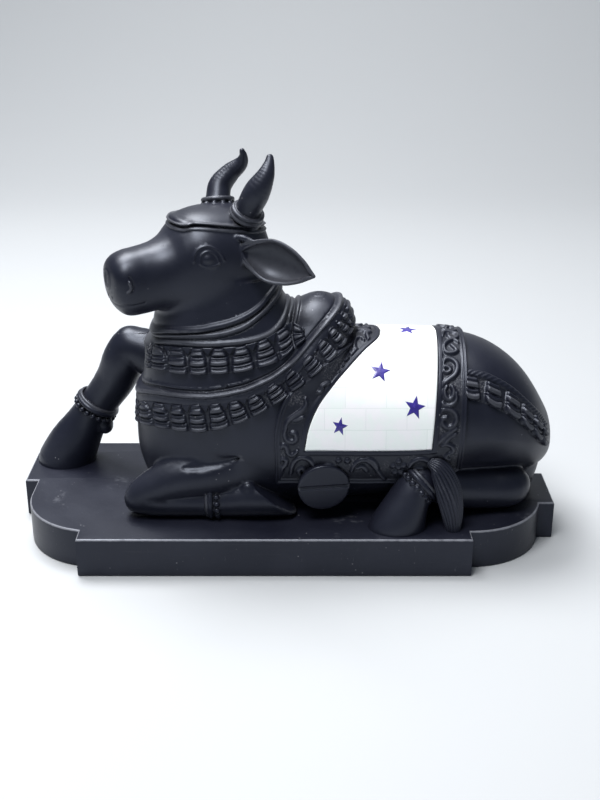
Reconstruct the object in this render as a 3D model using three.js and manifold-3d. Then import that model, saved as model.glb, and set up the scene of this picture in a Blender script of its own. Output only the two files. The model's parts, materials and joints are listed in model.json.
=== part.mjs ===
// A recumbent Nandi bull cast in one piece with its stepped plinth, with an inlaid saddle.
// Millimetres, +Z up. The bull faces -X and turns its head towards -Y. The origin is the
// middle of the plinth's underside.

import * as THREE from 'three';
import { mergeVertices } from 'three/addons/utils/BufferGeometryUtils.js';
import Module from 'manifold-3d';

const wasm = await Module();
wasm.setup();

// Driving dimensions
const PLINTH = {
  length: 380,
  depth: 152.5,
  height: 28.1,
  edgeBreak: 1.3,
  lobeRadius: 54,
  lobeInset: 10.7,
  endSlabStep: 9.2,
  frontSlab: [-138.5, 125.8],
  backSlab: [-152, 138.5],
  rightSlab: [-23.5, 23.5],
  leftSlab: [11.5, 59],
  smallLobeRadius: 29,
  marginAtChest: 44,
  marginAtRump: 44,
};
const FIGURE_LENGTH = PLINTH.length - PLINTH.marginAtChest - PLINTH.marginAtRump;
const INLAY = { thickness: 2.4, proud: 0.5, clearance: 0.3, starRadius: 7.2, smallStarRadius: 5.4 };
const CLOTH = { thickness: 1.8, rimRadius: 1.5, scrollWidth: 2.6, scrollHeight: 1.6 };
const GARLAND_HEIGHT = 2.6;
const ROPE_RADIUS = 2.8;
const BEAD_RADIUS = 2.1;
const SEAT = 1.0;

// The carving is proportioned in parts, 292 of them from the chest to the rump.
// Heights in parts are measured from the top of the plinth.
const FIGURE_PARTS = 292;
const PART = FIGURE_LENGTH / FIGURE_PARTS;
const TURN = 2 * Math.PI;
const radians = THREE.MathUtils.degToRad;

function at(x, y, h) {
  return new THREE.Vector3(x * PART, y * PART, PLINTH.height + h * PART);
}

// Tables of sections, read between their rows by a smooth curve

function readTable(rows, key) {
  const last = rows.length - 1;
  if (key <= rows[0][0]) return rows[0].slice(1);
  if (key >= rows[last][0]) return rows[last].slice(1);
  let i = 0;
  while (rows[i + 1][0] < key) i += 1;
  const span = rows[i + 1][0] - rows[i][0];
  const t = (key - rows[i][0]) / span;
  const slope = (k, column) => {
    const a = rows[Math.max(k - 1, 0)];
    const b = rows[Math.min(k + 1, last)];
    return (b[column] - a[column]) / (b[0] - a[0]);
  };
  return rows[i].slice(1).map((value, index) => {
    const column = index + 1;
    const next = rows[i + 1][column];
    const m0 = slope(i, column) * span;
    const m1 = slope(i + 1, column) * span;
    const t2 = t * t;
    const t3 = t2 * t;
    return (2 * t3 - 3 * t2 + 1) * value + (t3 - 2 * t2 + t) * m0
      + (3 * t2 - 2 * t3) * next + (t3 - t2) * m1;
  });
}

// Rounded power of a sine or cosine, the side of a superellipse
function bulge(value, squareness) {
  return Math.sign(value) * Math.abs(value) ** (2 / squareness);
}

// Half width of a superellipse at a share of its half length
function chord(share, squareness) {
  const inside = 1 - Math.abs(share) ** squareness;
  return inside > 0 ? inside ** (1 / squareness) : 0;
}

// The barrel of the body: x, top, height of the widest place, bottom, half width, lower squareness
const BARREL = [
  [-72, 92, 50, -SEAT, 34, 1.9],
  [-50, 108, 52, -SEAT, 44, 1.9],
  [-20, 115, 55, -SEAT, 50, 1.9],
  [20, 118, 57, -SEAT, 52.5, 1.9],
  [60, 118.5, 57, -SEAT, 53, 1.9],
  [100, 118, 58, -SEAT, 53, 1.8],
  [121, 115.5, 62, 3, 54, 1.4],
  [134, 111.5, 63, 7, 54, 1.3],
  [148, 104, 61, 10, 51, 1.3],
  [160, 95, 57, 13, 44.5, 1.35],
  [170, 84, 53, 17, 37, 1.5],
  [179, 70, 48, 23, 26, 1.8],
  [185, 57, 43, 30, 14, 2],
  [187.5, 43, 39, 35, 3, 2],
];
const BARREL_UPPER = 2.1;
const BARREL_HALF_WIDTH = 53;

// The chest and neck, a column of level sections: height, front x, back x, half width
const COLUMN = [
  [-SEAT, -90, 20, 34],
  [20, -98, 28, 42],
  [38, -102.5, 33, 47],
  [55, -103, 35, 49.5],
  [75, -101.5, 36, 50.5],
  [90, -97.5, 34, 49.5],
  [104, -95.5, 31, 47],
  [113, -94.5, 28, 45],
  [118, -89.5, 24, 42.5],
  [130, -88.5, 13, 40.5],
  [140, -86, 4, 38],
  [150, -80, -2, 35],
  [162, -70, -6, 30],
];
const COLUMN_SQUARENESS = 2.3;
const NECK_HALF_WIDTH = 48;

// The hump, level sections above the shoulders: height, front x, back x, half width
const HUMP = [
  [100, -12, 45, 44],
  [112, -10, 46, 41],
  [122, -7, 46, 35],
  [132, -2, 45, 28],
  [139, 4, 43, 21],
  [144, 11, 38, 13],
  [146.5, 20, 30, 5],
];
const HUMP_SQUARENESS = 2.2;

function barrelHalfWidth(x, h) {
  if (x < BARREL[0][0] || x > BARREL[BARREL.length - 1][0]) return 0;
  const [top, widest, bottom, halfWidth, lowerSquareness] = readTable(BARREL, x);
  return h > widest
    ? halfWidth * chord((h - widest) / (top - widest), BARREL_UPPER)
    : halfWidth * chord((widest - h) / (widest - bottom), lowerSquareness);
}

function levelHalfWidth(rows, squareness, x, h) {
  if (h < rows[0][0] || h > rows[rows.length - 1][0]) return 0;
  const [front, back, halfWidth] = readTable(rows, h);
  return halfWidth * chord((x - (front + back) / 2) / ((back - front) / 2), squareness);
}

function neckHalfWidth(x, h) {
  return levelHalfWidth(COLUMN, COLUMN_SQUARENESS, x, h);
}

function bodyHalfWidth(x, h) {
  return Math.max(
    barrelHalfWidth(x, h),
    neckHalfWidth(x, h),
    levelHalfWidth(HUMP, HUMP_SQUARENESS, x, h),
  );
}

// Closed meshes

function meshSolid(points, triangles) {
  const vertProperties = new Float32Array(points.flatMap((p) => [p.x, p.y, p.z]));
  const volume = triangles.reduce((sum, [a, b, c]) => {
    const cross = new THREE.Vector3().crossVectors(points[b], points[c]);
    return sum + points[a].dot(cross);
  }, 0);
  const order = volume < 0 ? triangles.map(([a, b, c]) => [a, c, b]) : triangles;
  const triVerts = new Uint32Array(order.flat());
  return new wasm.Manifold(new wasm.Mesh({ numProp: 3, vertProperties, triVerts }));
}

function geometrySolid(geometry) {
  const bare = geometry.clone();
  bare.deleteAttribute('normal');
  bare.deleteAttribute('uv');
  const merged = mergeVertices(bare, 1e-4);
  const position = merged.getAttribute('position');
  const points = [];
  for (let i = 0; i < position.count; i += 1) {
    points.push(new THREE.Vector3().fromBufferAttribute(position, i));
  }
  const index = Array.from(merged.index.array);
  const triangles = [];
  for (let i = 0; i < index.length; i += 3) {
    const [a, b, c] = index.slice(i, i + 3);
    if (a !== b && b !== c && a !== c) triangles.push([a, b, c]);
  }
  return meshSolid(points, triangles);
}

function solidGeometry(solid) {
  const mesh = solid.getMesh();
  const geometry = new THREE.BufferGeometry();
  const stride = mesh.numProp;
  const count = mesh.vertProperties.length / stride;
  const position = new Float32Array(count * 3);
  for (let i = 0; i < count; i += 1) {
    for (let k = 0; k < 3; k += 1) position[i * 3 + k] = mesh.vertProperties[i * stride + k];
  }
  geometry.setAttribute('position', new THREE.BufferAttribute(position, 3));
  geometry.setIndex(Array.from(mesh.triVerts));
  geometry.computeVertexNormals();
  return geometry;
}

// Skin a row of rings; the two ends are closed by fans unless the row closes on itself
function skinRings(rings, endless = false) {
  const sides = rings[0].length;
  const points = rings.flat();
  const triangles = [];
  const spans = endless ? rings.length : rings.length - 1;
  for (let i = 0; i < spans; i += 1) {
    const here = i * sides;
    const there = ((i + 1) % rings.length) * sides;
    for (let j = 0; j < sides; j += 1) {
      const k = (j + 1) % sides;
      triangles.push([here + j, here + k, there + k], [here + j, there + k, there + j]);
    }
  }
  if (!endless) {
    const fan = (first, flip) => {
      const middle = new THREE.Vector3();
      for (let j = 0; j < sides; j += 1) middle.add(points[first + j]);
      points.push(middle.divideScalar(sides));
      const hub = points.length - 1;
      for (let j = 0; j < sides; j += 1) {
        const k = (j + 1) % sides;
        triangles.push(flip ? [first + k, first + j, hub] : [first + j, first + k, hub]);
      }
    };
    fan(0, true);
    fan((rings.length - 1) * sides, false);
  }
  return meshSolid(points, triangles);
}

function ellipseRing(middle, across, along, sides, squareness = 2) {
  const ring = [];
  for (let j = 0; j < sides; j += 1) {
    const angle = (TURN * j) / sides;
    ring.push(middle.clone()
      .addScaledVector(across, bulge(Math.cos(angle), squareness))
      .addScaledVector(along, bulge(Math.sin(angle), squareness)));
  }
  return ring;
}

// A limb: rows of x, y, height, half thickness across the view and half thickness upright
function limb(rows, sides, steps, level) {
  const spine = new THREE.CatmullRomCurve3(rows.map(([x, y, h]) => at(x, y, h)), false, 'centripetal');
  const table = rows.map((row, i) => [i / (rows.length - 1), row[3], row[4]]);
  const rings = [];
  for (let i = 0; i <= steps; i += 1) {
    const t = i / steps;
    const tangent = spine.getTangent(t);
    const side = new THREE.Vector3().crossVectors(level, tangent).normalize();
    const upright = new THREE.Vector3().crossVectors(tangent, side).normalize();
    const [wide, tall] = readTable(table, t);
    rings.push(ellipseRing(
      spine.getPoint(t),
      side.multiplyScalar(wide * PART),
      upright.multiplyScalar(tall * PART),
      sides,
    ));
  }
  return skinRings(rings);
}

const UP = new THREE.Vector3(0, 0, 1);
const NEARWARD = new THREE.Vector3(0, -1, 0);

// The plinth

function plinthShape() {
  const halfLength = PLINTH.length / 2;
  const halfDepth = PLINTH.depth / 2;
  const lobeX = halfLength - PLINTH.endSlabStep - PLINTH.lobeRadius;
  const lobeY = PLINTH.lobeInset;
  const radius = PLINTH.lobeRadius;
  const lobeAngle = (offset) => Math.asin(offset / radius);
  const flankAngle = (offset) => Math.acos(offset / radius);
  const [frontLeft, frontRight] = PLINTH.frontSlab;
  const [backLeft, backRight] = PLINTH.backSlab;
  const [rightNear, rightFar] = PLINTH.rightSlab;
  const [leftNear, leftFar] = PLINTH.leftSlab;
  const small = PLINTH.smallLobeRadius;
  const smallX = -lobeX - radius + small;
  const smallY = halfDepth - PLINTH.endSlabStep - small;
  const shape = new THREE.Shape();
  shape.moveTo(frontLeft, -halfDepth);
  shape.lineTo(frontRight, -halfDepth);
  shape.absarc(lobeX, -lobeY, radius, -flankAngle(frontRight - lobeX), lobeAngle(rightNear + lobeY), false);
  shape.lineTo(halfLength, rightNear);
  shape.lineTo(halfLength, rightFar);
  shape.absarc(lobeX, lobeY, radius, lobeAngle(rightFar - lobeY), flankAngle(backRight - lobeX), false);
  shape.lineTo(backRight, halfDepth);
  shape.lineTo(backLeft, halfDepth);
  shape.absarc(smallX, smallY, small, Math.PI / 2, Math.PI - Math.asin((leftFar - smallY) / small), false);
  shape.lineTo(-halfLength, leftFar);
  shape.lineTo(-halfLength, leftNear);
  shape.lineTo(-lobeX - radius, leftNear);
  shape.absarc(-lobeX, -lobeY, radius, Math.PI, TURN - flankAngle(frontLeft + lobeX), false);
  shape.closePath();
  return shape;
}

function plinth() {
  const geometry = new THREE.ExtrudeGeometry(plinthShape(), {
    depth: PLINTH.height - 2 * PLINTH.edgeBreak,
    bevelEnabled: true,
    bevelThickness: PLINTH.edgeBreak,
    bevelSize: PLINTH.edgeBreak,
    bevelOffset: -PLINTH.edgeBreak,
    bevelSegments: 1,
    curveSegments: 5,
  });
  geometry.translate(0, 0, PLINTH.edgeBreak);
  return geometrySolid(geometry);
}

// The body

// A point on the barrel's skin at x and an angle from the spine, near side first
function barrelSkin(x, angle) {
  const [top, widest, bottom, halfWidth, lowerSquareness] = readTable(BARREL, x);
  const above = Math.cos(radians(angle)) > 0;
  const squareness = above ? BARREL_UPPER : lowerSquareness;
  const half = above ? top - widest : widest - bottom;
  return at(
    x,
    -halfWidth * bulge(Math.sin(radians(angle)), squareness),
    widest + half * bulge(Math.cos(radians(angle)), squareness),
  );
}

// The saddle lies on the barrel. Its edges are places of girth and x, girth being the angle
// from the spine.
const CLOTH_GIRTH = 121;
const INLAY_GIRTH = 92;
const CLOTH_FRONT = [[0, 46], [25, 34], [38, 24], [52, 12], [65, 2], [80, -5], [95, -6], [CLOTH_GIRTH, -6]];
const CLOTH_BACK = [[0, 122.5], [60, 121], [CLOTH_GIRTH, 119]];
const INLAY_FRONT = [[0, 66], [12, 63.5], [25, 54], [38, 44], [52, 32.5], [65, 23], [78, 17],
  [INLAY_GIRTH, 14]];
const INLAY_BACK = [[0, 103.5], [50, 101], [INLAY_GIRTH, 98]];
const INLAY_ROWS = [0, 12, 25, 38, 52, 65, 78, INLAY_GIRTH];
const RECESS_FLOOR = CLOTH.thickness + INLAY.proud - INLAY.thickness - INLAY.clearance;

function edgeAt(edge, girth) {
  return readTable(edge, Math.abs(girth))[0];
}

// A point over the barrel's skin at x and girth, lifted by so many millimetres
function onBarrel(x, girth, lift) {
  const place = barrelSkin(x, girth);
  const lengthwise = barrelSkin(x + 1, girth).sub(barrelSkin(x - 1, girth));
  const girthwise = barrelSkin(x, girth + 1).sub(barrelSkin(x, girth - 1));
  const outward = girthwise.cross(lengthwise).normalize();
  return place.addScaledVector(outward, lift);
}

// The barrel's skin with the saddle cloth raised on it, the rims of the cloth and the bed of the inlay
function saddledBarrel() {
  const slack = INLAY.clearance / PART;
  const slackAngle = THREE.MathUtils.radToDeg(slack / BARREL_HALF_WIDTH);
  const cloth = CLOTH.thickness;
  const rim = CLOTH.thickness + CLOTH.rimRadius;
  const halfRows = [
    ...INLAY_ROWS.slice(0, -1).map((girth) => ({ girth, bed: RECESS_FLOOR, cloth, rim })),
    { girth: INLAY_GIRTH + slackAngle, bed: RECESS_FLOOR, cloth, rim },
    { girth: INLAY_GIRTH + slackAngle + 0.3, bed: cloth, cloth, rim },
    { girth: 105, bed: cloth, cloth, rim },
    { girth: CLOTH_GIRTH - 3.2, bed: cloth, cloth, rim },
    { girth: CLOTH_GIRTH - 1.6, bed: rim, cloth: rim, rim },
    { girth: CLOTH_GIRTH, bed: cloth, cloth, rim: cloth },
    { girth: CLOTH_GIRTH + 0.4, bed: 0, cloth: 0, rim: 0 },
    { girth: 142, bed: 0, cloth: 0, rim: 0 },
    { girth: 162, bed: 0, cloth: 0, rim: 0 },
  ];
  const rows = [...halfRows.slice(1).reverse().map((row) => ({ ...row, girth: -row.girth })), ...halfRows];
  const clothFront = (girth) => edgeAt(CLOTH_FRONT, girth);
  const clothBack = (girth) => edgeAt(CLOTH_BACK, girth);
  const bedFront = (girth) => edgeAt(INLAY_FRONT, girth) - slack;
  const bedBack = (girth) => edgeAt(INLAY_BACK, girth) + slack;
  const stations = [
    [(girth) => clothFront(girth) - 24],
    [(girth) => clothFront(girth) - 0.4],
    [clothFront, 'cloth'],
    [(girth) => bedFront(girth) - 0.2, 'cloth'],
    [bedFront, 'bed'],
    [(girth) => (bedFront(girth) + bedBack(girth)) / 2, 'bed'],
    [bedBack, 'bed'],
    [(girth) => bedBack(girth) + 0.2, 'cloth'],
    [(girth) => clothBack(girth) - 3.2, 'cloth'],
    [(girth) => clothBack(girth) - 1.6, 'rim'],
    [clothBack, 'cloth'],
    [(girth) => clothBack(girth) + 0.4],
    ...[132, 144, 155, 165, 174, 182, 187.5].map((x) => [() => x]),
  ];
  return skinRings(stations.map(([xAt, level]) => (
    rows.map((row) => onBarrel(xAt(row.girth), row.girth, level ? row[level] : 0))
  )));
}

function levelColumn(rows, squareness, sides) {
  return skinRings(rows.map(([h, front, back, halfWidth, middle = 0]) => {
    return ellipseRing(
      at((front + back) / 2, middle, h),
      new THREE.Vector3(((back - front) / 2) * PART, 0, 0),
      new THREE.Vector3(0, halfWidth * PART, 0),
      sides,
      squareness,
    );
  }));
}

// Bands that lie round the neck and shoulders, between an upper and a lower line.
// Each line gives a height for each x; the band closes where the body's width runs out.

const LINES = {
  garlandOneTop: [[-96, 109.5], [-60, 121], [-14, 127.5], [10, 135], [25, 138]],
  garlandOneFoot: [[-98, 88.5], [-62, 104.5], [-42, 107], [-14, 112], [10, 123], [25, 128]],
  rope: [[-105, 76], [-62, 89.3], [-43, 92], [-24, 97.5], [-4, 107], [15, 121], [25, 129], [48, 141]],
  garlandTwoTop: [[-105, 68], [-62, 84], [-43, 88], [-16, 95.5], [-4, 100], [10, 108], [29, 120], [48, 134]],
  garlandTwoFoot: [[-105, 51.5], [-62, 69], [-43, 73], [-16, 80], [-4, 85], [10, 92.5], [29, 109], [48, 124]],
  throatOne: [[-92, 119], [-61, 132], [-42, 136], [-23, 142.5], [-6, 151.5], [4, 156]],
  throatTwo: [[-92, 115.5], [-61, 127], [-42, 130.5], [-23, 137], [-6, 146.5], [4, 152]],
  step: [[-96, 112.5], [-61, 124], [-42, 126], [-23, 128], [-9, 131], [1, 137], [8, 143]],
};

function lineHeight(line, x) {
  return readTable(line, x)[0];
}

// The x at which the width along a line runs out, searched from the middle outwards
function lineEnd(heightAt, halfWidthAt, from, to) {
  let inside = from;
  let outside = to;
  for (let i = 0; i < 30; i += 1) {
    const x = (inside + outside) / 2;
    if (halfWidthAt(x, heightAt(x)) > 0) inside = x;
    else outside = x;
  }
  return inside;
}

const NECK_MIDDLE_X = -32;

// A point on the skin at a share of the way round (0 at the chest), pushed out by lift
function collarPoint(heightAt, halfWidthAt, ends, turn, lift) {
  const [front, back] = ends;
  const middle = (front + back) / 2;
  const x = middle - ((back - front) / 2) * Math.cos(turn * TURN);
  const h = heightAt(x);
  const y = -Math.sign(Math.sin(turn * TURN) || 0) * halfWidthAt(x, h);
  const outward = new THREE.Vector3((x - middle) / ((back - front) / 2) ** 2, y / NECK_HALF_WIDTH ** 2, 0);
  return at(x, y, h).addScaledVector(outward.normalize(), lift * PART);
}

function collarEnds(heightAt, halfWidthAt) {
  return [
    lineEnd(heightAt, halfWidthAt, NECK_MIDDLE_X, NECK_MIDDLE_X - FIGURE_PARTS / 2),
    lineEnd(heightAt, halfWidthAt, NECK_MIDDLE_X, NECK_MIDDLE_X + FIGURE_PARTS / 2),
  ];
}

// A carved garland: clusters round the band, each of three blocks one above the other
const BLOCKS = [[0.04, 1], [0.33, 0.55], [0.5, 1], [0.67, 0.55], [0.96, 1]];
const BURIED = -3;

function garlandColumns(clusters, farColumns) {
  const columns = [];
  for (let i = 0; i < clusters; i += 1) {
    columns.push([i, 0.4], [i + 0.16, 1], [i + 0.84, 1]);
  }
  const near = columns.map(([place, depth]) => [(0.5 * (place + 0.5)) / (clusters + 0.5), depth]);
  const far = Array.from({ length: farColumns }, (_, i) => [0.5 + (0.5 * (i + 0.5)) / farColumns, 0.8]);
  return [...near, ...far];
}

// A ring of the neck or a collar: its height for each x, its lift, and whether the clusters cut it
function collarRow(heightAt, halfWidthAt, lift = 0, cut = false) {
  return { heightAt, halfWidthAt, lift, cut, ends: collarEnds(heightAt, halfWidthAt) };
}

function collarRows(top, foot, halfWidthAt) {
  return BLOCKS.map(([share, lift]) => {
    const heightAt = (x) => THREE.MathUtils.lerp(lineHeight(top, x), lineHeight(foot, x), share);
    return collarRow(heightAt, halfWidthAt, lift * GARLAND_HEIGHT, true);
  });
}

function rowPoint({ heightAt, halfWidthAt, lift, cut, ends }, [turn, depth]) {
  return collarPoint(heightAt, halfWidthAt, ends, turn, cut ? lift * depth : lift);
}

function above(line, rise) {
  return (x) => lineHeight(line, x) + rise;
}

// The chest and neck with the upper garland, the fold over it and the two folds of the throat
function neck() {
  const row = (heightAt, lift) => collarRow(heightAt, neckHalfWidth, lift);
  const fold = (line, lift) => [row(above(line, -1.5), 0), row(above(line, 0), lift)];
  const rows = [
    ...[-SEAT, 22, 45, 72].map((h) => row(() => h, 0)),
    row(above(LINES.garlandOneFoot, -0.6), 0),
    ...collarRows(LINES.garlandOneTop, LINES.garlandOneFoot, neckHalfWidth).reverse(),
    ...fold(LINES.step, 1.6),
    ...fold(LINES.throatTwo, 1.6),
    ...fold(LINES.throatOne, 1.6),
    row(above(LINES.throatOne, 2), 0),
    row((x) => Math.min(lineHeight(LINES.throatOne, x) + 20, 161), 0),
    row(() => 162, 0),
  ];
  const columns = garlandColumns(8, 5);
  return skinRings(rows.map((ring) => columns.map((column) => rowPoint(ring, column))));
}

// The lower garland under its rope, a band of its own over chest, shoulder and hump
function lowerGarland() {
  const row = (line, rise, lift) => collarRow(above(line, rise), bodyHalfWidth, lift);
  const rows = [
    row(LINES.rope, 2.6, -0.6),
    row(LINES.rope, 0, ROPE_RADIUS),
    ...collarRows(LINES.garlandTwoTop, LINES.garlandTwoFoot, bodyHalfWidth),
    row(LINES.garlandTwoFoot, 0, BURIED),
    row(LINES.rope, 0, BURIED),
  ];
  return skinRings(garlandColumns(13, 6).map((column) => rows.map((ring) => rowPoint(ring, column))), true);
}

// The head, in its own frame: forward along the muzzle, sideways to the near side

const HEAD_TURN = radians(26);
const HEAD_PIVOT = [-45, 0];
const HEAD_FORWARD = new THREE.Vector3(-Math.cos(HEAD_TURN), -Math.sin(HEAD_TURN), 0);
const HEAD_SIDE = new THREE.Vector3(Math.sin(HEAD_TURN), -Math.cos(HEAD_TURN), 0);

function atHead(forward, side, h) {
  return at(HEAD_PIVOT[0], HEAD_PIVOT[1], h)
    .addScaledVector(HEAD_FORWARD, forward * PART)
    .addScaledVector(HEAD_SIDE, side * PART);
}

// Distance forward, top, widest height, bottom, half width
const SKULL = [
  [-35, 184, 170, 156, 9],
  [-31, 193, 172, 146, 19],
  [-22, 201, 172, 138, 27],
  [-12, 205, 172, 132, 31],
  [0, 206, 172, 130, 33],
  [12, 205.5, 173, 131, 33],
  [22, 203, 173, 134, 30.5],
  [29, 198.5, 171, 138, 27.5],
  [36, 191.5, 168, 141, 24],
  [44, 187.5, 165, 142.5, 21.5],
  [54, 185.5, 163, 141.5, 20],
  [64, 184, 163, 141.5, 19.5],
  [70, 181.5, 165, 145.5, 17.5],
  [74, 177.5, 167, 152.5, 13],
  [76, 173, 168, 161, 6],
];

const SKULL_SQUARENESS = 2.2;
const CROWN = Math.max(...SKULL.map(([, top]) => top));

function skull() {
  const sides = 16;
  const stations = [-35, -30, -19, 0, 16, 26, 34, 43, 54, 65, 72, 76];
  return skinRings(stations.map((forward) => {
    const [top, widest, bottom, halfWidth] = readTable(SKULL, forward);
    const ring = [];
    for (let j = 0; j < sides; j += 1) {
      const angle = (TURN * j) / sides;
      const rise = Math.sin(angle);
      const half = rise > 0 ? top - widest : widest - bottom;
      ring.push(atHead(
        forward,
        halfWidth * bulge(Math.cos(angle), SKULL_SQUARENESS),
        widest + half * bulge(rise, SKULL_SQUARENESS),
      ));
    }
    return ring;
  }));
}

// Horns: x, y, height and half thickness from the root to the tip

const NEAR_HORN = [[-23.5, -8, 200, 9.5], [-22.5, -11.6, 207, 8.4], [-16.8, -16, 219, 8.6],
  [-11.4, -16.5, 229, 6], [-8.8, -14, 236.5, 3.5], [-8.3, -12, 241, 2.2]];
const FAR_HORN = [[-44, 13, 202, 9.5], [-43.8, 16, 208, 8.2], [-42.5, 21, 215.5, 7.8],
  [-35.5, 23, 223.5, 6.4], [-28.6, 21.5, 229.5, 4.7], [-26.6, 19, 235, 2.8], [-27.3, 17.5, 239, 1.6]];

function horn(rows) {
  return limb(rows.map(([x, y, h, r]) => [x, y, h, r, r]), 8, 7, NEARWARD);
}

function torusAt(middle, normal, ringRadius, tubeRadius, sides) {
  const geometry = new THREE.TorusGeometry(ringRadius * PART, tubeRadius * PART, 3, sides);
  geometry.applyQuaternion(new THREE.Quaternion().setFromUnitVectors(UP, normal.clone().normalize()));
  geometry.translate(middle.x, middle.y, middle.z);
  return geometrySolid(geometry);
}

// The collar round the root of each horn
const HORN_COLLAR = { ringRadius: 9.4, tubeRadius: 2.3, sides: 9 };
const NEAR_COLLAR = { place: [-22.8, -11.3, 205.5], normal: [0.35, -0.35, 0.87] };
const FAR_COLLAR = { place: [-44, 15.6, 207], normal: [-0.05, 0.3, 0.95] };

function hornCollar({ place, normal }) {
  const { ringRadius, tubeRadius, sides } = HORN_COLLAR;
  return torusAt(at(...place), new THREE.Vector3(...normal), ringRadius, tubeRadius, sides);
}

// Ears: a hollowed leaf from the side of the head, root and tip placed forward, sideways and up

const EAR = { halfWidth: 13.8, hollow: 5, thickness: 3.2 };
const NEAR_EAR = { root: [-5.2, 30.4, 183.3], tip: [-37.8, 69.6, 172.5] };
const FAR_EAR = { root: [-5.2, -30.4, 183.3], tip: [-37.8, -62.5, 172.5] };

function ear({ root, tip }) {
  const { halfWidth, hollow, thickness } = EAR;
  const from = atHead(...root);
  const to = atHead(...tip);
  const axis = to.clone().sub(from);
  const out = HEAD_SIDE.clone().multiplyScalar(Math.sign(root[1])).addScaledVector(HEAD_FORWARD, 0.3);
  const blade = new THREE.Vector3().crossVectors(axis, out).normalize();
  if (blade.z < 0) blade.negate();
  const face = new THREE.Vector3().crossVectors(blade, axis).normalize();
  if (face.dot(out) < 0) face.negate();
  const leaf = [[0, 0.34], [0.14, 0.66], [0.38, 1], [0.62, 0.9], [0.82, 0.56], [1, 0.06]];
  const rings = leaf.map(([share, width]) => {
    const middle = from.clone().addScaledVector(axis, share);
    const half = halfWidth * width * PART;
    const dish = hollow * width * PART;
    const skin = thickness * Math.min(1, 0.4 + width) * PART;
    const point = (across, depth) =>
      middle.clone().addScaledVector(blade, across).addScaledVector(face, depth);
    return [
      point(half, 0.2 * skin),
      point(half * 0.8, -0.35 * dish),
      point(half * 0.4, -dish),
      point(-half * 0.4, -dish),
      point(-half * 0.8, -0.35 * dish),
      point(-half, 0.2 * skin),
      point(-half * 0.6, -0.9 * dish - skin),
      point(half * 0.6, -0.9 * dish - skin),
    ];
  });
  return skinRings(rings);
}

// Legs

const NEAR_FOREARM = [[-12, -12, 58, 22, 24], [-40, -28, 49, 24, 23], [-66, -35, 39, 18, 17],
  [-88, -38, 29, 14, 13.5], [-101, -39, 18, 13, 14.5], [-104, -39, 13, 11, 12]];
const NEAR_FORE_SHANK = [[-106.5, -38, 12.5, 8, 8.5], [-100, -39, 12, 12, 12.8], [-76, -40, 11.5, 12.2, 12.3],
  [-50, -40, 11.4, 11.6, 12], [-35, -40, 12.6, 12.6, 13.6], [-22, -40, 14.5, 13.5, 16],
  [-6, -40, 14, 13.5, 15.5], [8, -40, 12, 11, 12.5]];
const FAR_FOREARM = [[-62, 30, 62, 22, 24], [-82, 36, 78, 18, 19], [-100, 40, 90, 15.5, 16.5],
  [-113, 42, 92, 13, 14], [-120, 43, 88, 8, 9]];
const FAR_FORE_SHANK = [[-112, 42, 96, 12.5, 12], [-117, 43, 84, 15.5, 15.5], [-124, 45, 68, 15, 14.5],
  [-134, 47, 53, 14, 13.5], [-143, 48, 41, 13.5, 13.5], [-151, 49, 28, 16, 15], [-160, 49, 13, 20, 17.5],
  [-167, 49, -SEAT, 22, 19.5]];
const NEAR_SHANK = [[163, -26, 17, 6, 8], [155, -28, 16.5, 14, 15.5], [140, -29, 16.5, 15.5, 16.5],
  [122, -35, 19, 14.5, 15.5], [104, -43, 25, 13, 13.5], [92, -48, 29, 12.5, 12.5]];
const TASSEL = [[97, -53, 47, 3, 3], [104, -56, 42, 7, 5], [109, -58.5, 30, 8.8, 5.5],
  [112.5, -61, 15, 7.8, 5], [114, -63, -SEAT, 5, 4]];

// The near hind hoof and the haunches as level sections: height, front x, back x, half width, middle y
const NEAR_HIND_HOOF = [[-SEAT, 56.5, 96, 15, -58], [4, 58, 96, 15, -57.5], [12, 63, 97, 14.5, -56],
  [22, 70, 99, 13.5, -53.5], [32, 77, 101, 12, -51], [38, 82, 100, 9, -49]];
const HAUNCHES = [[-SEAT, -60, 176, 27, 5], [18, -60, 182, 29, 6], [40, -60, 184, 31, 6]];
const HAUNCHES_SQUARENESS = 2.4;

function mirrored(rows) {
  return rows.map(([x, y, ...rest]) => [x, -y, ...rest]);
}

// The folded foreleg from knee to hoof. The hoof is cut off slantwise: its flat sole faces up and back.
const SOLE = { place: [-10, -40, 17.5], lean: 38, cut: [80, 60, 30] };

function nearForeShank() {
  const leg = limb(NEAR_FORE_SHANK, 12, 7, UP);
  const [length, width, height] = SOLE.cut.map((size) => size * PART);
  const cutter = new THREE.BoxGeometry(length, width, height);
  cutter.translate(0, 0, height / 2);
  cutter.rotateY(radians(SOLE.lean));
  const place = at(...SOLE.place);
  cutter.translate(place.x, place.y, place.z);
  return leg.subtract(geometrySolid(cutter));
}

// The far hind hoof comes out under the belly, its round cloven sole to the near side
const DISC_HOOF = {
  face: [27, -50, 24.8],
  profile: [[0, 0], [16.8, 0], [18, 1.4], [18, 6], [14, 20], [0, 20]],
  lean: 8,
  turn: 7,
  groove: [60, 3, 1.4],
  grooveLean: 4,
  grooveRise: 1,
  clearOfPlinth: [80, 80, 40],
};

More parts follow.
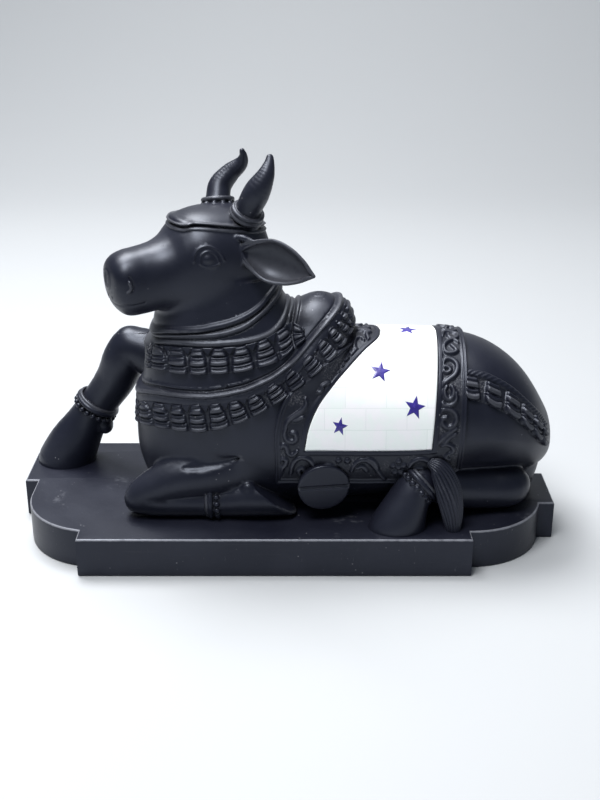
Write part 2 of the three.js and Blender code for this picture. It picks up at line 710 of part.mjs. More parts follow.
function farHindHoof() {
  const { face, profile, lean, turn, groove, grooveLean, grooveRise, clearOfPlinth } = DISC_HOOF;
  const [faceX, faceY, faceHeight] = face;
  const block = ([length, width, height]) =>
    new THREE.BoxGeometry(length * PART, width * PART, height * PART);
  const outline = profile.map(([r, depth]) => new THREE.Vector2(r * PART, depth * PART));
  const disc = new THREE.LatheGeometry(outline, 16);
  disc.rotateX(radians(lean));
  disc.rotateZ(radians(turn));
  const middle = at(...face);
  disc.translate(middle.x, middle.y, middle.z);
  const floor = block(clearOfPlinth);
  const below = at(faceX, faceY, -SEAT - clearOfPlinth[2] / 2);
  floor.translate(below.x, below.y, below.z);
  const cleft = block(groove);
  cleft.rotateY(radians(grooveLean));
  cleft.rotateZ(radians(turn));
  const line = at(faceX, faceY, faceHeight + grooveRise);
  cleft.translate(line.x, line.y, line.z);
  return geometrySolid(disc).subtract(geometrySolid(floor)).subtract(geometrySolid(cleft));
}

// An anklet: a round band and beside it a string of beads. Its section is given across and outwards.
const ANKLET = {
  band: [[-2.6, -2], [0, 2.2], [2.4, 0.2]],
  beadLine: 4.2,
  foot: -2,
  beads: 8,
  betweenBeads: 0.45,
};

function anklet({ place, normal, ringRadius }) {
  const { band, beadLine, foot, beads, betweenBeads } = ANKLET;
  const middle = at(...place);
  const direction = new THREE.Vector3(...normal).normalize();
  const turnTo = new THREE.Quaternion().setFromUnitVectors(UP, direction);
  const rings = Array.from({ length: 2 * beads }, (_, i) => {
    const swell = BEAD_RADIUS * (i % 2 === 0 ? 1 : betweenBeads);
    const section = [...band, [beadLine, swell], [beadLine + swell, foot]];
    return section.map(([along, out]) => {
      const angle = (TURN * i) / (2 * beads);
      return new THREE.Vector3(Math.cos(angle), Math.sin(angle), 0)
        .multiplyScalar((ringRadius + out) * PART)
        .applyQuaternion(turnTo).add(middle)
        .addScaledVector(direction, along * PART);
    });
  });
  return skinRings(rings, true);
}

// The inlay: a sheet of even thickness over the rows of girth, between its front and back edges
function inlaySheet(inner, outer) {
  const girths = [...INLAY_ROWS.slice(1).reverse().map((girth) => -girth), ...INLAY_ROWS];
  const shares = [0, 0.5, 1];
  const rings = girths.map((girth) => {
    const front = edgeAt(INLAY_FRONT, girth);
    const back = edgeAt(INLAY_BACK, girth);
    const row = (lift) =>
      shares.map((share) => onBarrel(THREE.MathUtils.lerp(front, back, share), girth, lift));
    return [...row(outer), ...row(inner).reverse()];
  });
  return skinRings(rings);
}

// A raised line on the cloth with a roof-shaped section, along places of x, girth and height
function ridge(places, width, height, base) {
  const path = places.map(([x, girth]) => ({
    foot: onBarrel(x, girth, base - 1),
    crest: onBarrel(x, girth, base + height),
  }));
  const rings = path.map(({ foot, crest }, i) => {
    const before = path[Math.max(i - 1, 0)].foot;
    const after = path[Math.min(i + 1, path.length - 1)].foot;
    const along = after.clone().sub(before);
    const outward = crest.clone().sub(foot);
    const across = new THREE.Vector3().crossVectors(along, outward).normalize().multiplyScalar(width / 2);
    return [foot.clone().add(across), crest, foot.clone().sub(across)];
  });
  return skinRings(rings);
}

// One scroll of the border: a curl at each end of a bent stem, in a cell from 0 to 1 each way
const SCROLL = [[0.55, 0.42], [0.26, 0.52], [0.2, 0.16], [0.62, 0.06], [0.88, 0.4], [0.84, 0.98]];

function scrollPath(mapCell, flip) {
  return SCROLL.map(([across, along]) => mapCell(flip ? 1 - across : across, along));
}

function saddleScrolls() {
  const ridges = [];
  const lay = (mapCell, count) => {
    for (let i = 0; i < count; i += 1) {
      const path = scrollPath((across, along) => mapCell(across, (i + along) / (count + 0.1)), i % 2 === 1);
      ridges.push(ridge(path, CLOTH.scrollWidth, CLOTH.scrollHeight, CLOTH.thickness));
    }
  };
  const share = THREE.MathUtils.lerp;
  lay((across, along) => {
    const girth = share(2, CLOTH_GIRTH - 3, along);
    const start = readTable(INLAY_BACK, Math.min(girth, INLAY_GIRTH))[0] + 3;
    const end = readTable(CLOTH_BACK, girth)[0] - 3;
    return [share(start, end, across), girth];
  }, 5);
  lay((across, along) => [share(0, 96, along), share(INLAY_GIRTH + 3, CLOTH_GIRTH - 4, across)], 4);
  lay((across, along) => {
    const girth = share(INLAY_GIRTH + 4, 30, along);
    const inlayFront = readTable(INLAY_FRONT, Math.min(girth, INLAY_GIRTH))[0];
    const start = Math.max(readTable(CLOTH_FRONT, girth)[0], inlayFront - 19);
    return [share(start, inlayFront - 2.5, across), girth];
  }, 4);
  return ridges;
}

// The garland over the rump: a strap with clusters hanging under it, x, top and foot heights
const CRUPPER = [[118, 113, 96], [135, 105, 88], [150, 94, 77], [163, 82, 64], [172, 72, 53], [178, 63, 45]];

function crupper(side, clusters) {
  const profile = [[0, BURIED], [0, 0.9], [0.22, 1], [0.34, 0.5], [0.5, 1.1], [0.7, 0.6], [0.9, 1.1],
    [1, BURIED]];
  const columns = clusters * 2;
  return skinRings(Array.from({ length: columns + 1 }, (_, i) => {
    const x = THREE.MathUtils.lerp(117, 178, i / columns);
    const [top, foot] = readTable(CRUPPER, x);
    const between = i % 2 === 0;
    return profile.map(([share, lift]) => {
      const hanging = share > 0.4;
      const h = THREE.MathUtils.lerp(top, foot, hanging && between ? share * 0.86 : share);
      const y = -side * Math.max(barrelHalfWidth(x, h), 1);
      const raised = lift > 0 ? lift * (hanging && between ? 0.4 : 1) * GARLAND_HEIGHT : lift;
      const outward = new THREE.Vector3((x - 110) / 75 ** 2, y / 50 ** 2, (h - 57) / 60 ** 2).normalize();
      return at(x, y, h).addScaledVector(outward, raised * PART);
    });
  }));
}

// Inlaid stars: x, girth, radius. The one on the spine has no twin.

const STARS = [[37, 77, INLAY.smallStarRadius], [86, 65.5, INLAY.starRadius], [63.5, 42, INLAY.starRadius]];
const SPINE_STAR = [84, 0, INLAY.starRadius];

function starSolid([x, girth, radius], grow, inner, outer) {
  const middle = onBarrel(x, girth, 0);
  const outward = onBarrel(x, girth, 1).sub(middle).normalize();
  const along = new THREE.Vector3(1, 0, 0);
  along.addScaledVector(outward, -along.dot(outward)).normalize();
  const upward = new THREE.Vector3().crossVectors(outward, along);
  if (upward.z < 0) upward.negate();
  const ring = (lift) => Array.from({ length: 10 }, (_, i) => {
    const reach = (i % 2 === 0 ? radius + 2.2 * grow : radius * 0.42 + 1.4 * grow) * PART;
    const angle = (TURN * i) / 10 + 0.2;
    return middle.clone().addScaledVector(outward, lift)
      .addScaledVector(along, reach * Math.sin(angle)).addScaledVector(upward, reach * Math.cos(angle));
  });
  return skinRings([ring(inner), ring(outer)]);
}

// Putting it together

function joined(solids) {
  return solids.reduce((sum, solid) => sum.add(solid));
}

// A raised line with a three-sided section along points, each pushed down into the surface at its foot
function bead(points, radius, outwardAt, closed) {
  const count = points.length;
  const rings = points.map((point, i) => {
    const before = points[closed ? (i + count - 1) % count : Math.max(i - 1, 0)];
    const after = points[closed ? (i + 1) % count : Math.min(i + 1, count - 1)];
    const along = after.clone().sub(before).normalize();
    const outward = outwardAt(point).addScaledVector(along, -outwardAt(point).dot(along)).normalize();
    const across = new THREE.Vector3().crossVectors(along, outward);
    const corner = (out, side) => point.clone()
      .addScaledVector(outward, out * radius * PART)
      .addScaledVector(across, side * radius * PART);
    return [corner(1, 0), corner(-0.9, 1.2), corner(-0.9, -1.2)];
  });
  return skinRings(rings, closed);
}

// Half width of the skull at a place forward and up
function skullHalfWidth(forward, h) {
  const [top, widest, bottom, halfWidth] = readTable(SKULL, forward);
  const reach = h > widest ? top - widest : widest - bottom;
  return halfWidth * chord((h - widest) / reach, SKULL_SQUARENESS);
}

// The cap of the head ends in a rolled band, level but for a slight rise to the forehead
const CAP_BAND = { front: 28.6, back: -31.5, belowCrown: 10, rise: 0.1, radius: 1.8, points: 7 };

function capBand() {
  const { front, back, belowCrown, rise, points } = CAP_BAND;
  const height = CROWN - belowCrown;
  const half = (side) => Array.from({ length: points }, (_, i) => {
    const turn = (Math.PI * (i + 0.5)) / points;
    const forward = (front + back) / 2 + ((front - back) / 2) * Math.cos(turn);
    const h = height + rise * forward;
    return atHead(forward, side * skullHalfWidth(forward, h), h);
  });
  return [...half(1), ...half(-1).reverse()];
}

const SKULL_CORE = [0, 0, 172];

// The eye and its lids, which lie forward and up on the side of the head
const EYE = { radius: 5, place: [17, 29, 181.5], lidRadius: 1.2, lidSide: 32.4, lidTurn: 14, lidTaper: 0.13 };
const LIDS = [[28, 179], [25.5, 187], [18, 190.5], [10.5, 187], [6, 178.5], [17, 174.5]];
const NOSTRIL = [[67, 174], [70.5, 170.5], [70, 165], [66.5, 162]];
const NOSTRIL_SIDE = 17.5;
const NOSTRIL_RADIUS = 1.8;
const MOUTH = [[56, 21, 152.5], [66, 17, 152], [72, 10, 152.5], [74.5, 0, 153]];
const MOUTH_RADIUS = 1.6;

function headSolids() {
  const core = atHead(...SKULL_CORE);
  const fromCore = (point) => point.clone().sub(core);
  const eyeParts = [1, -1].flatMap((side) => {
    const eye = new THREE.SphereGeometry(EYE.radius * PART, 7, 5);
    eye.scale(1.2, 1, 0.9);
    const [eyeForward, eyeSide, eyeHeight] = EYE.place;
    const place = atHead(eyeForward, side * eyeSide, eyeHeight);
    eye.translate(place.x, place.y, place.z);
    const lidSide = (forward) => EYE.lidSide - EYE.lidTaper * Math.max(forward - EYE.lidTurn, 0);
    const lids = LIDS.map(([forward, h]) => atHead(forward, side * lidSide(forward), h));
    const outward = HEAD_SIDE.clone().multiplyScalar(side);
    return [geometrySolid(eye), bead(lids, EYE.lidRadius, () => outward.clone(), true)];
  });
  const mouth = bead([
    ...MOUTH.map(([forward, side, h]) => atHead(forward, side, h)),
    ...MOUTH.slice(0, -1).map(([forward, side, h]) => atHead(forward, -side, h)).reverse(),
  ], MOUTH_RADIUS, fromCore, false);
  const nostrils = [1, -1].map((side) => bead(
    NOSTRIL.map(([forward, h]) => atHead(forward, side * NOSTRIL_SIDE, h)),
    NOSTRIL_RADIUS,
    () => HEAD_SIDE.clone().multiplyScalar(side),
    false,
  ));
  const carvedSkull = [mouth, ...nostrils].reduce((rest, groove) => rest.subtract(groove), skull());
  return [
    carvedSkull,
    bead(capBand(), CAP_BAND.radius, fromCore, true),
    ...eyeParts,
    horn(NEAR_HORN),
    horn(FAR_HORN),
    hornCollar(NEAR_COLLAR),
    hornCollar(FAR_COLLAR),
    ear(NEAR_EAR),
    ear(FAR_EAR),
  ];
}

const ANKLETS = [
  { place: [-50, -40, 12], normal: [1, 0, 0.03], ringRadius: 12 },
  { place: [-139.5, 47.5, 46.5], normal: [-0.5, 0.06, -0.86], ringRadius: 14.5 },
  { place: [92, -49.5, 29], normal: [-0.75, -0.25, -0.6], ringRadius: 12.5 },
];

function legSolids() {
  const sides = 11;
  return [
    limb(NEAR_FOREARM, sides, 5, UP),
    nearForeShank(),
    limb(FAR_FOREARM, sides, 4, NEARWARD),
    limb(FAR_FORE_SHANK, sides, 7, NEARWARD),
    limb(NEAR_SHANK, sides, 6, UP),
    limb(mirrored(NEAR_SHANK).slice(0, 4), sides, 3, UP),
    levelColumn(NEAR_HIND_HOOF, 2, 12),
    ...ANKLETS.map(anklet),
    farHindHoof(),
    limb(TASSEL, 9, 5, NEARWARD),
  ];
}

function castingSolid() {
  const body = [
    saddledBarrel(),
    neck(),
    levelColumn(HUMP, HUMP_SQUARENESS, 14),
    levelColumn(HAUNCHES, HAUNCHES_SQUARENESS, 14),
  ];
  const trappings = [lowerGarland(), crupper(1, 6), crupper(-1, 2), ...saddleScrolls()];
  return joined([plinth(), ...body, ...trappings, ...headSolids(), ...legSolids()]);
}

function inlaySolid() {
  const outer = CLOTH.thickness + INLAY.proud;
  const field = inlaySheet(outer - INLAY.thickness, outer);
  const everyStar = starPlaces();
  const pocket = (star) => starSolid(star, INLAY.clearance, outer - 8, 8);
  return everyStar.reduce((rest, star) => rest.subtract(pocket(star)), field);
}

function starPlaces() {
  const twins = STARS.map(([x, girth, radius]) => [x, -girth, radius]);
  return [...STARS, SPINE_STAR, ...twins];
}

const MATERIALS = {
  casting: new THREE.MeshStandardMaterial({ color: 0x2b2b32, roughness: 0.5, metalness: 0 }),
  pearl: new THREE.MeshStandardMaterial({ color: 0xeceff0, roughness: 0.25, metalness: 0 }),
  lapis: new THREE.MeshStandardMaterial({ color: 0x2a2080, roughness: 0.3, metalness: 0 }),
};

function named(name, solid, material) {
  const mesh = new THREE.Mesh(solidGeometry(solid), material);
  mesh.name = name;
  return mesh;
}

const nandi = new THREE.Group();
nandi.name = 'nandi_bull';
nandi.add(named('nandi_bull_and_plinth', castingSolid(), MATERIALS.casting));
nandi.add(named('pearl_saddle_field', inlaySolid(), MATERIALS.pearl));
starPlaces().forEach((star, i) => {
  const outer = CLOTH.thickness + INLAY.proud;
  const solid = starSolid(star, 0, outer - INLAY.thickness, outer + 0.2);
  nandi.add(named(`blue_star_${i + 1}`, solid, MATERIALS.lapis));
});

export default nandi;
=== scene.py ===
"""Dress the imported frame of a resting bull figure, cast in one piece with its stepped plinth.

The carving is given in parts, 380 of them to the length of the plinth. x runs from the chest to
the rump, y away from the viewer, and heights are taken from the top of the plinth.
"""

import json
import logging
import math
from dataclasses import dataclass, field
from enum import Enum
from typing import Callable, Iterable, Sequence

import bpy
import numpy as np
import openvdb
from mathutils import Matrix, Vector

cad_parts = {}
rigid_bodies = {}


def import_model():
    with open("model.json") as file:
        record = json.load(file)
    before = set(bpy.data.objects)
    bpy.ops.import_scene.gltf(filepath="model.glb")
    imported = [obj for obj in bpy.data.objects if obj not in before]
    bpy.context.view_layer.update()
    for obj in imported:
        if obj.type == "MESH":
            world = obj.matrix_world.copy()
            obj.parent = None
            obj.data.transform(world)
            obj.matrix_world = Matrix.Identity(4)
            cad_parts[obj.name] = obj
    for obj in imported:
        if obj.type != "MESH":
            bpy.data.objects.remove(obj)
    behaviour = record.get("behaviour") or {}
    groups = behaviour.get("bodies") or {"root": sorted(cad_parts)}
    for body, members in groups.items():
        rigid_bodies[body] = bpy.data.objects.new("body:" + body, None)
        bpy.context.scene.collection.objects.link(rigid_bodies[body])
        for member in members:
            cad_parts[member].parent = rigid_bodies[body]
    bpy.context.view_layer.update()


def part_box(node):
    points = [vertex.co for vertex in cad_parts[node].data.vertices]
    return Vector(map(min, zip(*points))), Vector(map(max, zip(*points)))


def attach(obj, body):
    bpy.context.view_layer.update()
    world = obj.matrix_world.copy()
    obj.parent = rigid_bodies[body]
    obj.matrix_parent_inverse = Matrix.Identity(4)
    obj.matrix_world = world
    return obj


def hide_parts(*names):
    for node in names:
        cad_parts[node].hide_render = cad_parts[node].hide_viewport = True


LOG = logging.getLogger("nandi")
Array = np.ndarray
Point = tuple[float, float, float]
Box = tuple[Point, Point]
Rows = Sequence[Sequence[float]]
Line = Callable[[Array], Array]
Pair = tuple[float, float]
Colour = tuple[float, float, float, float]

# Length and height of the plinth in parts, and the depth to which the rims of sheets are sunk
PLINTH_PARTS = 380.0
DECK = 28.1
SUNK = -1.5
TURN = 2.0 * math.pi


class Slot(Enum):
    """Material slots of the record."""

    CASTING = "casting"
    PEARL = "pearl"
    LAPIS = "lapis"


# Numbers and fields


def smooth_union(first: Array, second: Array, blend: float) -> Array:
    """Join two distance fields with a fillet.

    Args:
        first: distances to one form.
        second: distances to the other.
        blend: width of the fillet, 0 for a sharp crease.

    Returns:
        Distances to the joined form.
    """
    if blend <= 0:
        return np.minimum(first, second)
    share = np.clip(0.5 + 0.5 * (first - second) / blend, 0, 1)
    return first + (second - first) * share - blend * share * (1 - share)


def smooth_cut(first: Array, second: Array, blend: float) -> Array:
    """Return the distances to the first form with the second cut out of it, its edge rounded."""
    return -smooth_union(-first, second, blend)


def ramp(value: Array, low: float, high: float) -> Array:
    """Return a smooth step from 0 at low to 1 at high."""
    share = np.clip((value - low) / (high - low), 0, 1)
    return share * share * (3 - 2 * share)


class Table:
    """Rows of a key and its values, read between the rows by a smooth curve."""

    def __init__(self, rows: Rows) -> None:
        """Keep the rows and the slope at each.

        Args:
            rows: key first, in rising order, then the values.
        """
        data = np.asarray(rows, float)
        self.keys, self.values = data[:, 0], data[:, 1:]
        count = len(data)
        before = np.maximum(np.arange(count) - 1, 0)
        after = np.minimum(np.arange(count) + 1, count - 1)
        step = (self.keys[after] - self.keys[before])[:, None]
        self.slopes = (self.values[after] - self.values[before]) / step

    def __call__(self, key: Array) -> list[Array]:
        """Read every column at each key.

        Args:
            key: where to read; clamped to the ends of the table.

        Returns:
            One array for each column.
        """
        key = np.clip(key, self.keys[0], self.keys[-1])
        row = np.clip(np.searchsorted(self.keys, key, side="right") - 1, 0, len(self.keys) - 2)
        span = self.keys[row + 1] - self.keys[row]
        t = (key - self.keys[row]) / span
        t2, t3 = t * t, t * t * t
        return [
            (2 * t3 - 3 * t2 + 1) * self.values[row, c] + (t3 - 2 * t2 + t) * span * self.slopes[row, c]
            + (3 * t2 - 2 * t3) * self.values[row + 1, c] + (t3 - t2) * span * self.slopes[row + 1, c]
            for c in range(self.values.shape[1])
        ]


def unit(ways: Array) -> Array:
    """Return rows of directions at length one."""
    return ways / np.linalg.norm(ways, axis=-1, keepdims=True)


def read(rows: Rows, key: Array) -> Array:
    """Return the first value of a table at each key."""
    return Table(rows)(key)[0]


@dataclass(frozen=True)
class HeadFrame:
    """The head's own frame: forward along the muzzle, sideways to the near side, and up."""

    turn: float = math.radians(26)
    pivot: tuple[float, float] = (-45.0, 0.0)

    def local(self, points: Array) -> tuple[Array, Array, Array]:
        """Return forward, side and height of points of the figure.

        Args:
            points: rows of x, y and height.

        Returns:
            Forward, side and height of each.
        """
        dx, dy = points[:, 0] - self.pivot[0], points[:, 1] - self.pivot[1]
        forward = -dx * math.cos(self.turn) - dy * math.sin(self.turn)
        side = dx * math.sin(self.turn) - dy * math.cos(self.turn)
        return forward, side, points[:, 2]

    def place(self, forward: float, side: float, height: float) -> Point:
        """Return the figure's x, y and height of a place in the head's frame.

        Args:
            forward: along the muzzle.
            side: towards the near side.
            height: above the plinth.

        Returns:
            x, y and height in the figure.
        """
        x = self.pivot[0] - forward * math.cos(self.turn) + side * math.sin(self.turn)
        y = self.pivot[1] - forward * math.sin(self.turn) - side * math.cos(self.turn)
        return x, y, height


HEAD = HeadFrame()


# Forms given by their distance


class Form:
    """A form with a distance to its skin, and the box outside which it is of no account."""

    low: Array
    high: Array

    def distance(self, points: Array) -> Array:
        """Return the distance of each point to the skin, negative inside."""
        raise NotImplementedError

    def box(self, low: Iterable[float], high: Iterable[float]) -> "Form":
        """Set the box of the form and return the form."""
        self.low, self.high = np.asarray(low, float), np.asarray(high, float)
        return self


class Sections(Form):
    """A form skinned over rounded sections: a barrel, a neck or a skull.

    Each row has the key along the form, the upper edge, the widest place, the lower edge, half the
    width, and the squareness above and below the widest place.
    """

    def __init__(self, rows: Rows, split: Callable[[Array], tuple]) -> None:
        """Keep the rows, and what turns points into places along, up in and across a section."""
        self.table = Table(rows)
        self.split = split

    def radial(self, along: Array, up: Array, across: Array) -> Array:
        """Distance to the section's outline, measured on the ray from its middle.

        Args:
            along: place along the form.
            up: place up in the section.
            across: place across it.

        Returns:
            Distances, negative inside.
        """
        upper, widest, lower, half, square_up, square_down = self.table(along)
        rise = up - widest
        reach = np.where(rise > 0, upper - widest, widest - lower)
        square = np.where(rise > 0, square_up, square_down)
        u = np.abs(across) / np.maximum(half, 0.5)
        v = np.abs(rise) / np.maximum(reach, 0.5)
        share = np.maximum(u**square + v**square, 1e-6) ** (1 / square)
        length = np.hypot(across, rise)
        return length - length / share

    def distance(self, points: Array) -> Array:
        """Return the distance to the skin, corrected where the form tapers.

        Args:
            points: rows of x, y and height.

        Returns:
            Distances, negative inside.
        """
        along, up, across = self.split(points)
        distance = self.radial(along, up, across)
        slope = (self.radial(along + 1, up, across) - self.radial(along - 1, up, across)) / 2
        distance = distance / np.sqrt(1 + slope * slope)
        keys = self.table.keys
        over = np.maximum(np.maximum(keys[0] - along, along - keys[-1]), 0)
        return np.where(over > 0, np.hypot(np.maximum(distance, 0), over), distance)


class Limb(Form):
    """A round form along a curve with a changing radius: a leg, a horn or a raised line."""

    def __init__(self, rows: Rows, steps: int = 5) -> None:
        """Draw the curve through the rows.

        Args:
            rows: x, y, height and radius.
            steps: straight pieces between two rows.
        """
        data = np.asarray(rows, float)
        last = len(data) - 1
        track = []
        for i in range(last):
            ends = [data[min(max(i + k, 0), last)] for k in (-1, 0, 1, 2)]
            track += [self.curve(ends, step / steps) for step in range(steps)]
        track.append(data[-1])
        self.track = np.asarray(track)
        reach = self.track[:, 3:4] + 9
        self.box((self.track[:, :3] - reach).min(0), (self.track[:, :3] + reach).max(0))

    @staticmethod
    def curve(ends: Sequence[Array], t: float) -> Array:
        """Return the point at t between the middle two of four rows.

        Args:
            ends: the four rows.
            t: share of the way from the second to the third.

        Returns:
            The row at that place.
        """
        a, b, c, d = ends
        square, cube = 2 * a - 5 * b + 4 * c - d, 3 * b - a - 3 * c + d
        return 0.5 * (2 * b + (c - a) * t + square * t**2 + cube * t**3)

    def distance(self, points: Array) -> Array:
        """Return the distance to the nearest of the straight pieces.

        Args:
            points: rows of x, y and height.

        Returns:
            Distances, negative inside.
        """
        best = np.full(len(points), 1e3)
        for start, end in zip(self.track[:-1], self.track[1:]):
            axis = end[:3] - start[:3]
            offset = points - start[:3]
            t = np.clip(offset @ axis / max(float(axis @ axis), 1e-9), 0, 1)
            gap = offset - t[:, None] * axis
            radius = start[3] + (end[3] - start[3]) * t
            np.minimum(best, np.sqrt(np.einsum("ij,ij->i", gap, gap)) - radius, out=best)
        return best


class Egg(Form):
    """An ellipsoid with its own axes."""

    def __init__(self, middle: Point, reach: Point, lean: float = 0.0) -> None:
        """Place the ellipsoid.

        Args:
            middle: its middle.
            reach: half its size along x, y and height, before it leans.
            lean: turn about the y axis in degrees.
        """
        self.middle, self.reach = np.asarray(middle, float), np.asarray(reach, float)
        angle = math.radians(lean)
        self.cos, self.sin = math.cos(angle), math.sin(angle)
        size = max(reach) + 9
        self.box(self.middle - size, self.middle + size)

    def distance(self, points: Array) -> Array:
        """Return a close measure of the distance to the skin.

        Args:
            points: rows of x, y and height.

        Returns:
            Distances, negative inside.
        """
        p = points - self.middle
        x, y, h = p.T
        q = np.stack([x * self.cos - h * self.sin, y, x * self.sin + h * self.cos], 1)
        near = np.linalg.norm(q / self.reach, axis=1)
        far = np.linalg.norm(q / self.reach**2, axis=1)
        return near * (near - 1) / np.maximum(far, 1e-6)


class Disc(Form):
    """A short round block with broken edges, such as the sole of a hoof or a ring."""

    def __init__(
        self, face: Point, normal: Point, radius: float, depth: float, edge: float, taper: float
    ) -> None:
        """Place the block behind its face.

        Args:
            face: middle of the face.
            normal: the way the face looks.
            radius: radius at the face.
            depth: how far it runs behind the face.
            edge: radius of its edges.
            taper: how much narrower it is at the back.
        """
        self.taper = taper
        self.normal = np.asarray(normal, float) / np.linalg.norm(normal)
        self.middle = np.asarray(face, float) - self.normal * depth / 2
        self.radius, self.half, self.edge = radius, depth / 2, edge
        size = max(radius, depth) + 8
        self.box(self.middle - size, self.middle + size)

    def distance(self, points: Array) -> Array:
        """Return the distance to the block.

        Args:
            points: rows of x, y and height.

        Returns:
            Distances, negative inside.
        """
        p = points - self.middle
        along = p @ self.normal
        out = np.sqrt(np.maximum(np.einsum("ij,ij->i", p, p) - along * along, 0))
        a = out - self.radius + self.edge + self.taper * (0.5 - along / (2 * self.half))
        b = np.abs(along) - self.half + self.edge
        return np.minimum(np.maximum(a, b), 0) + np.hypot(np.maximum(a, 0), np.maximum(b, 0)) - self.edge


class Plane(Form):
    """Everything on one side of a plane."""

    def __init__(self, place: Point, normal: Point) -> None:
        """Keep a place on the plane and the way into the form.

        Args:
            place: a place on the plane.
            normal: the way into the form.
        """
        self.place = np.asarray(place, float)
        self.normal = np.asarray(normal, float) / np.linalg.norm(normal)
        self.box((-1e3,) * 3, (1e3,) * 3)

    def distance(self, points: Array) -> Array:
        """Return the distance to the plane."""
        return -(points - self.place) @ self.normal


class Beads(Form):
    """A row of balls."""

    def __init__(self, places: Rows, radius: float) -> None:
        """Keep the places of the balls and their radius."""
        self.places, self.radius = np.asarray(places, float), radius
        self.box(self.places.min(0) - radius - 4, self.places.max(0) + radius + 4)

    def distance(self, points: Array) -> Array:
        """Return the distance to the nearest ball.

        Args:
            points: rows of x, y and height.

        Returns:
            Distances, negative inside.
        """
        best = np.full(len(points), 1e3)
        for place in self.places:
            np.minimum(best, np.linalg.norm(points - place, axis=1), out=best)
        return best - self.radius


class Swell(Form):
    """A rise or a step of the skin itself."""

    def __init__(self, amount: Line) -> None:
        """Keep how far the skin rises at each point."""
        self.amount = amount


class Ring(Form):
    """A round ring: the collar of a horn or the band of an anklet."""

    def __init__(self, middle: Point, normal: Point, radius: float, tube: float) -> None:
        """Place the ring.

        Args:
            middle: its middle.
            normal: its axis.
            radius: radius of its line.
            tube: radius of its section.
        """
        self.middle = np.asarray(middle, float)
        self.normal = np.asarray(normal, float) / np.linalg.norm(normal)
        self.radius, self.tube = radius, tube
        self.box(self.middle - radius - 9, self.middle + radius + 9)

    def distance(self, points: Array) -> Array:
        """Return the distance to the ring.

        Args:
            points: rows of x, y and height.

        Returns:
            Distances, negative inside.
        """
        p = points - self.middle
        along = p @ self.normal
        out = np.sqrt(np.maximum(np.einsum("ij,ij->i", p, p) - along * along, 0))
        return np.hypot(out - self.radius, along) - self.tube


@dataclass
class Layer:
    """One form of a sculpture and how it joins what is there already."""

    form: Form
    blend: float = 0.0
    cut: bool = False


@dataclass
class Sculpture:
    """Forms joined one after another into one skin."""

    layers: list[Layer] = field(default_factory=list)
    away: float = 30.0

    def add(self, form: Form, blend: float = 0.0) -> None:
        """Join a form with a fillet."""
        self.layers.append(Layer(form, blend))

    def carve(self, form: Form, blend: float = 0.0) -> None:
        """Cut a form out with a rounded edge."""
        self.layers.append(Layer(form, blend, True))

    def ridge(self, line: Line, radius: float, low: Point, high: Point, blend: float = 0.6) -> None:
        """Raise a round line where the skin meets a surface; below zero its radius is a groove's."""
        form = SkinLine(self.upto(len(self.layers)), line, abs(radius)).box(low, high)
        self.layers.append(Layer(form, blend, radius < 0))

    def upto(self, count: int) -> "Sculpture":
        """Return the sculpture with only its first layers."""
        return Sculpture(self.layers[:count], self.away)

    def distance(self, points: Array) -> Array:
        """Return the distance of each point to the joined skin.

        Args:
            points: rows of x, y and height.

        Returns:
            Distances, negative inside; about the value of away where nothing is near.
        """
        result = np.full(len(points), self.away)
        columns = np.ascontiguousarray(points.T)
        for layer in self.layers:
            form = layer.form
            inside = self.near(columns, form)
            if not len(inside):
                continue
            if isinstance(form, Swell):
                result[inside] -= form.amount(points[inside])
                continue
            if isinstance(form, SkinLine):
                own = form.from_skin(points[inside], result[inside])
            else:
                own = form.distance(points[inside])
            join = smooth_cut if layer.cut else smooth_union
            result[inside] = join(result[inside], own, layer.blend)
        return result

    @staticmethod
    def near(columns: Array, form: Form) -> Array:
        """Return which points lie in the box of a form.

        Args:
            columns: x, y and height of the points.
            form: the form.

        Returns:
            Indices of the points.
        """
        inside = np.ones(columns.shape[1], bool)
        for column, low, high in zip(columns, form.low, form.high):
            inside &= (column > low) & (column < high)
        return np.flatnonzero(inside)

    def normals(self, points: Array) -> Array:
        """Return the outward direction of the skin near each point.

        Args:
            points: rows of x, y and height.

        Returns:
            Unit directions.
        """
        step = 0.6
        gradient = np.stack([
            self.distance(points + offset) - self.distance(points - offset) for offset in np.eye(3) * step
        ], 1)
        return gradient / np.maximum(np.linalg.norm(gradient, axis=1, keepdims=True), 1e-9)

    def land(self, start: Array, way: Array, reach: float, rounds: int = 18) -> Array:
        """Find where rays leave the sculpture.

        Args:
            start: points inside it.
            way: unit directions.
            reach: longest way out.
            rounds: halvings of the search.

        Returns:
            Distance along each ray to the skin.
        """
        near, far = np.zeros(len(start)), np.full(len(start), reach)
        for _ in range(rounds):
            middle = (near + far) / 2
            inside = self.distance(start + way * middle[:, None]) < 0
            near, far = np.where(inside, middle, near), np.where(inside, far, middle)
        return near


class SkinLine(Form):
    """A round line laid on the skin of a sculpture, where it meets another surface."""

    def __init__(self, body: Sculpture, line: Line, radius: float) -> None:
        """Keep the body under the line, the surface and the radius."""
        self.body, self.line, self.radius = body, line, radius

    def from_skin(self, points: Array, skin: Array) -> Array:
        """Return the distance to the line, given the distances to the skin."""
        return np.hypot(self.line(points), skin) - self.radius

    def distance(self, points: Array) -> Array:
        """Return the distance to the line."""
        return self.from_skin(points, self.body.distance(points))


class Inner(Form):
    """A sculpture used as one form of another."""

    def __init__(self, sculpture: Sculpture) -> None:
        """Keep the sculpture."""
        self.sculpture = sculpture

    def distance(self, points: Array) -> Array:
        """Return the distance to the sculpture."""
        return self.sculpture.distance(points)


class Field(Form):
    """A form given by a function of points."""

    def __init__(self, measure: Line) -> None:
        """Keep the function."""
        self.measure = measure
        self.box((-400, -400, -400), (400, 400, 400))

    def distance(self, points: Array) -> Array:
        """Return the distance to the form."""
        return self.measure(points)


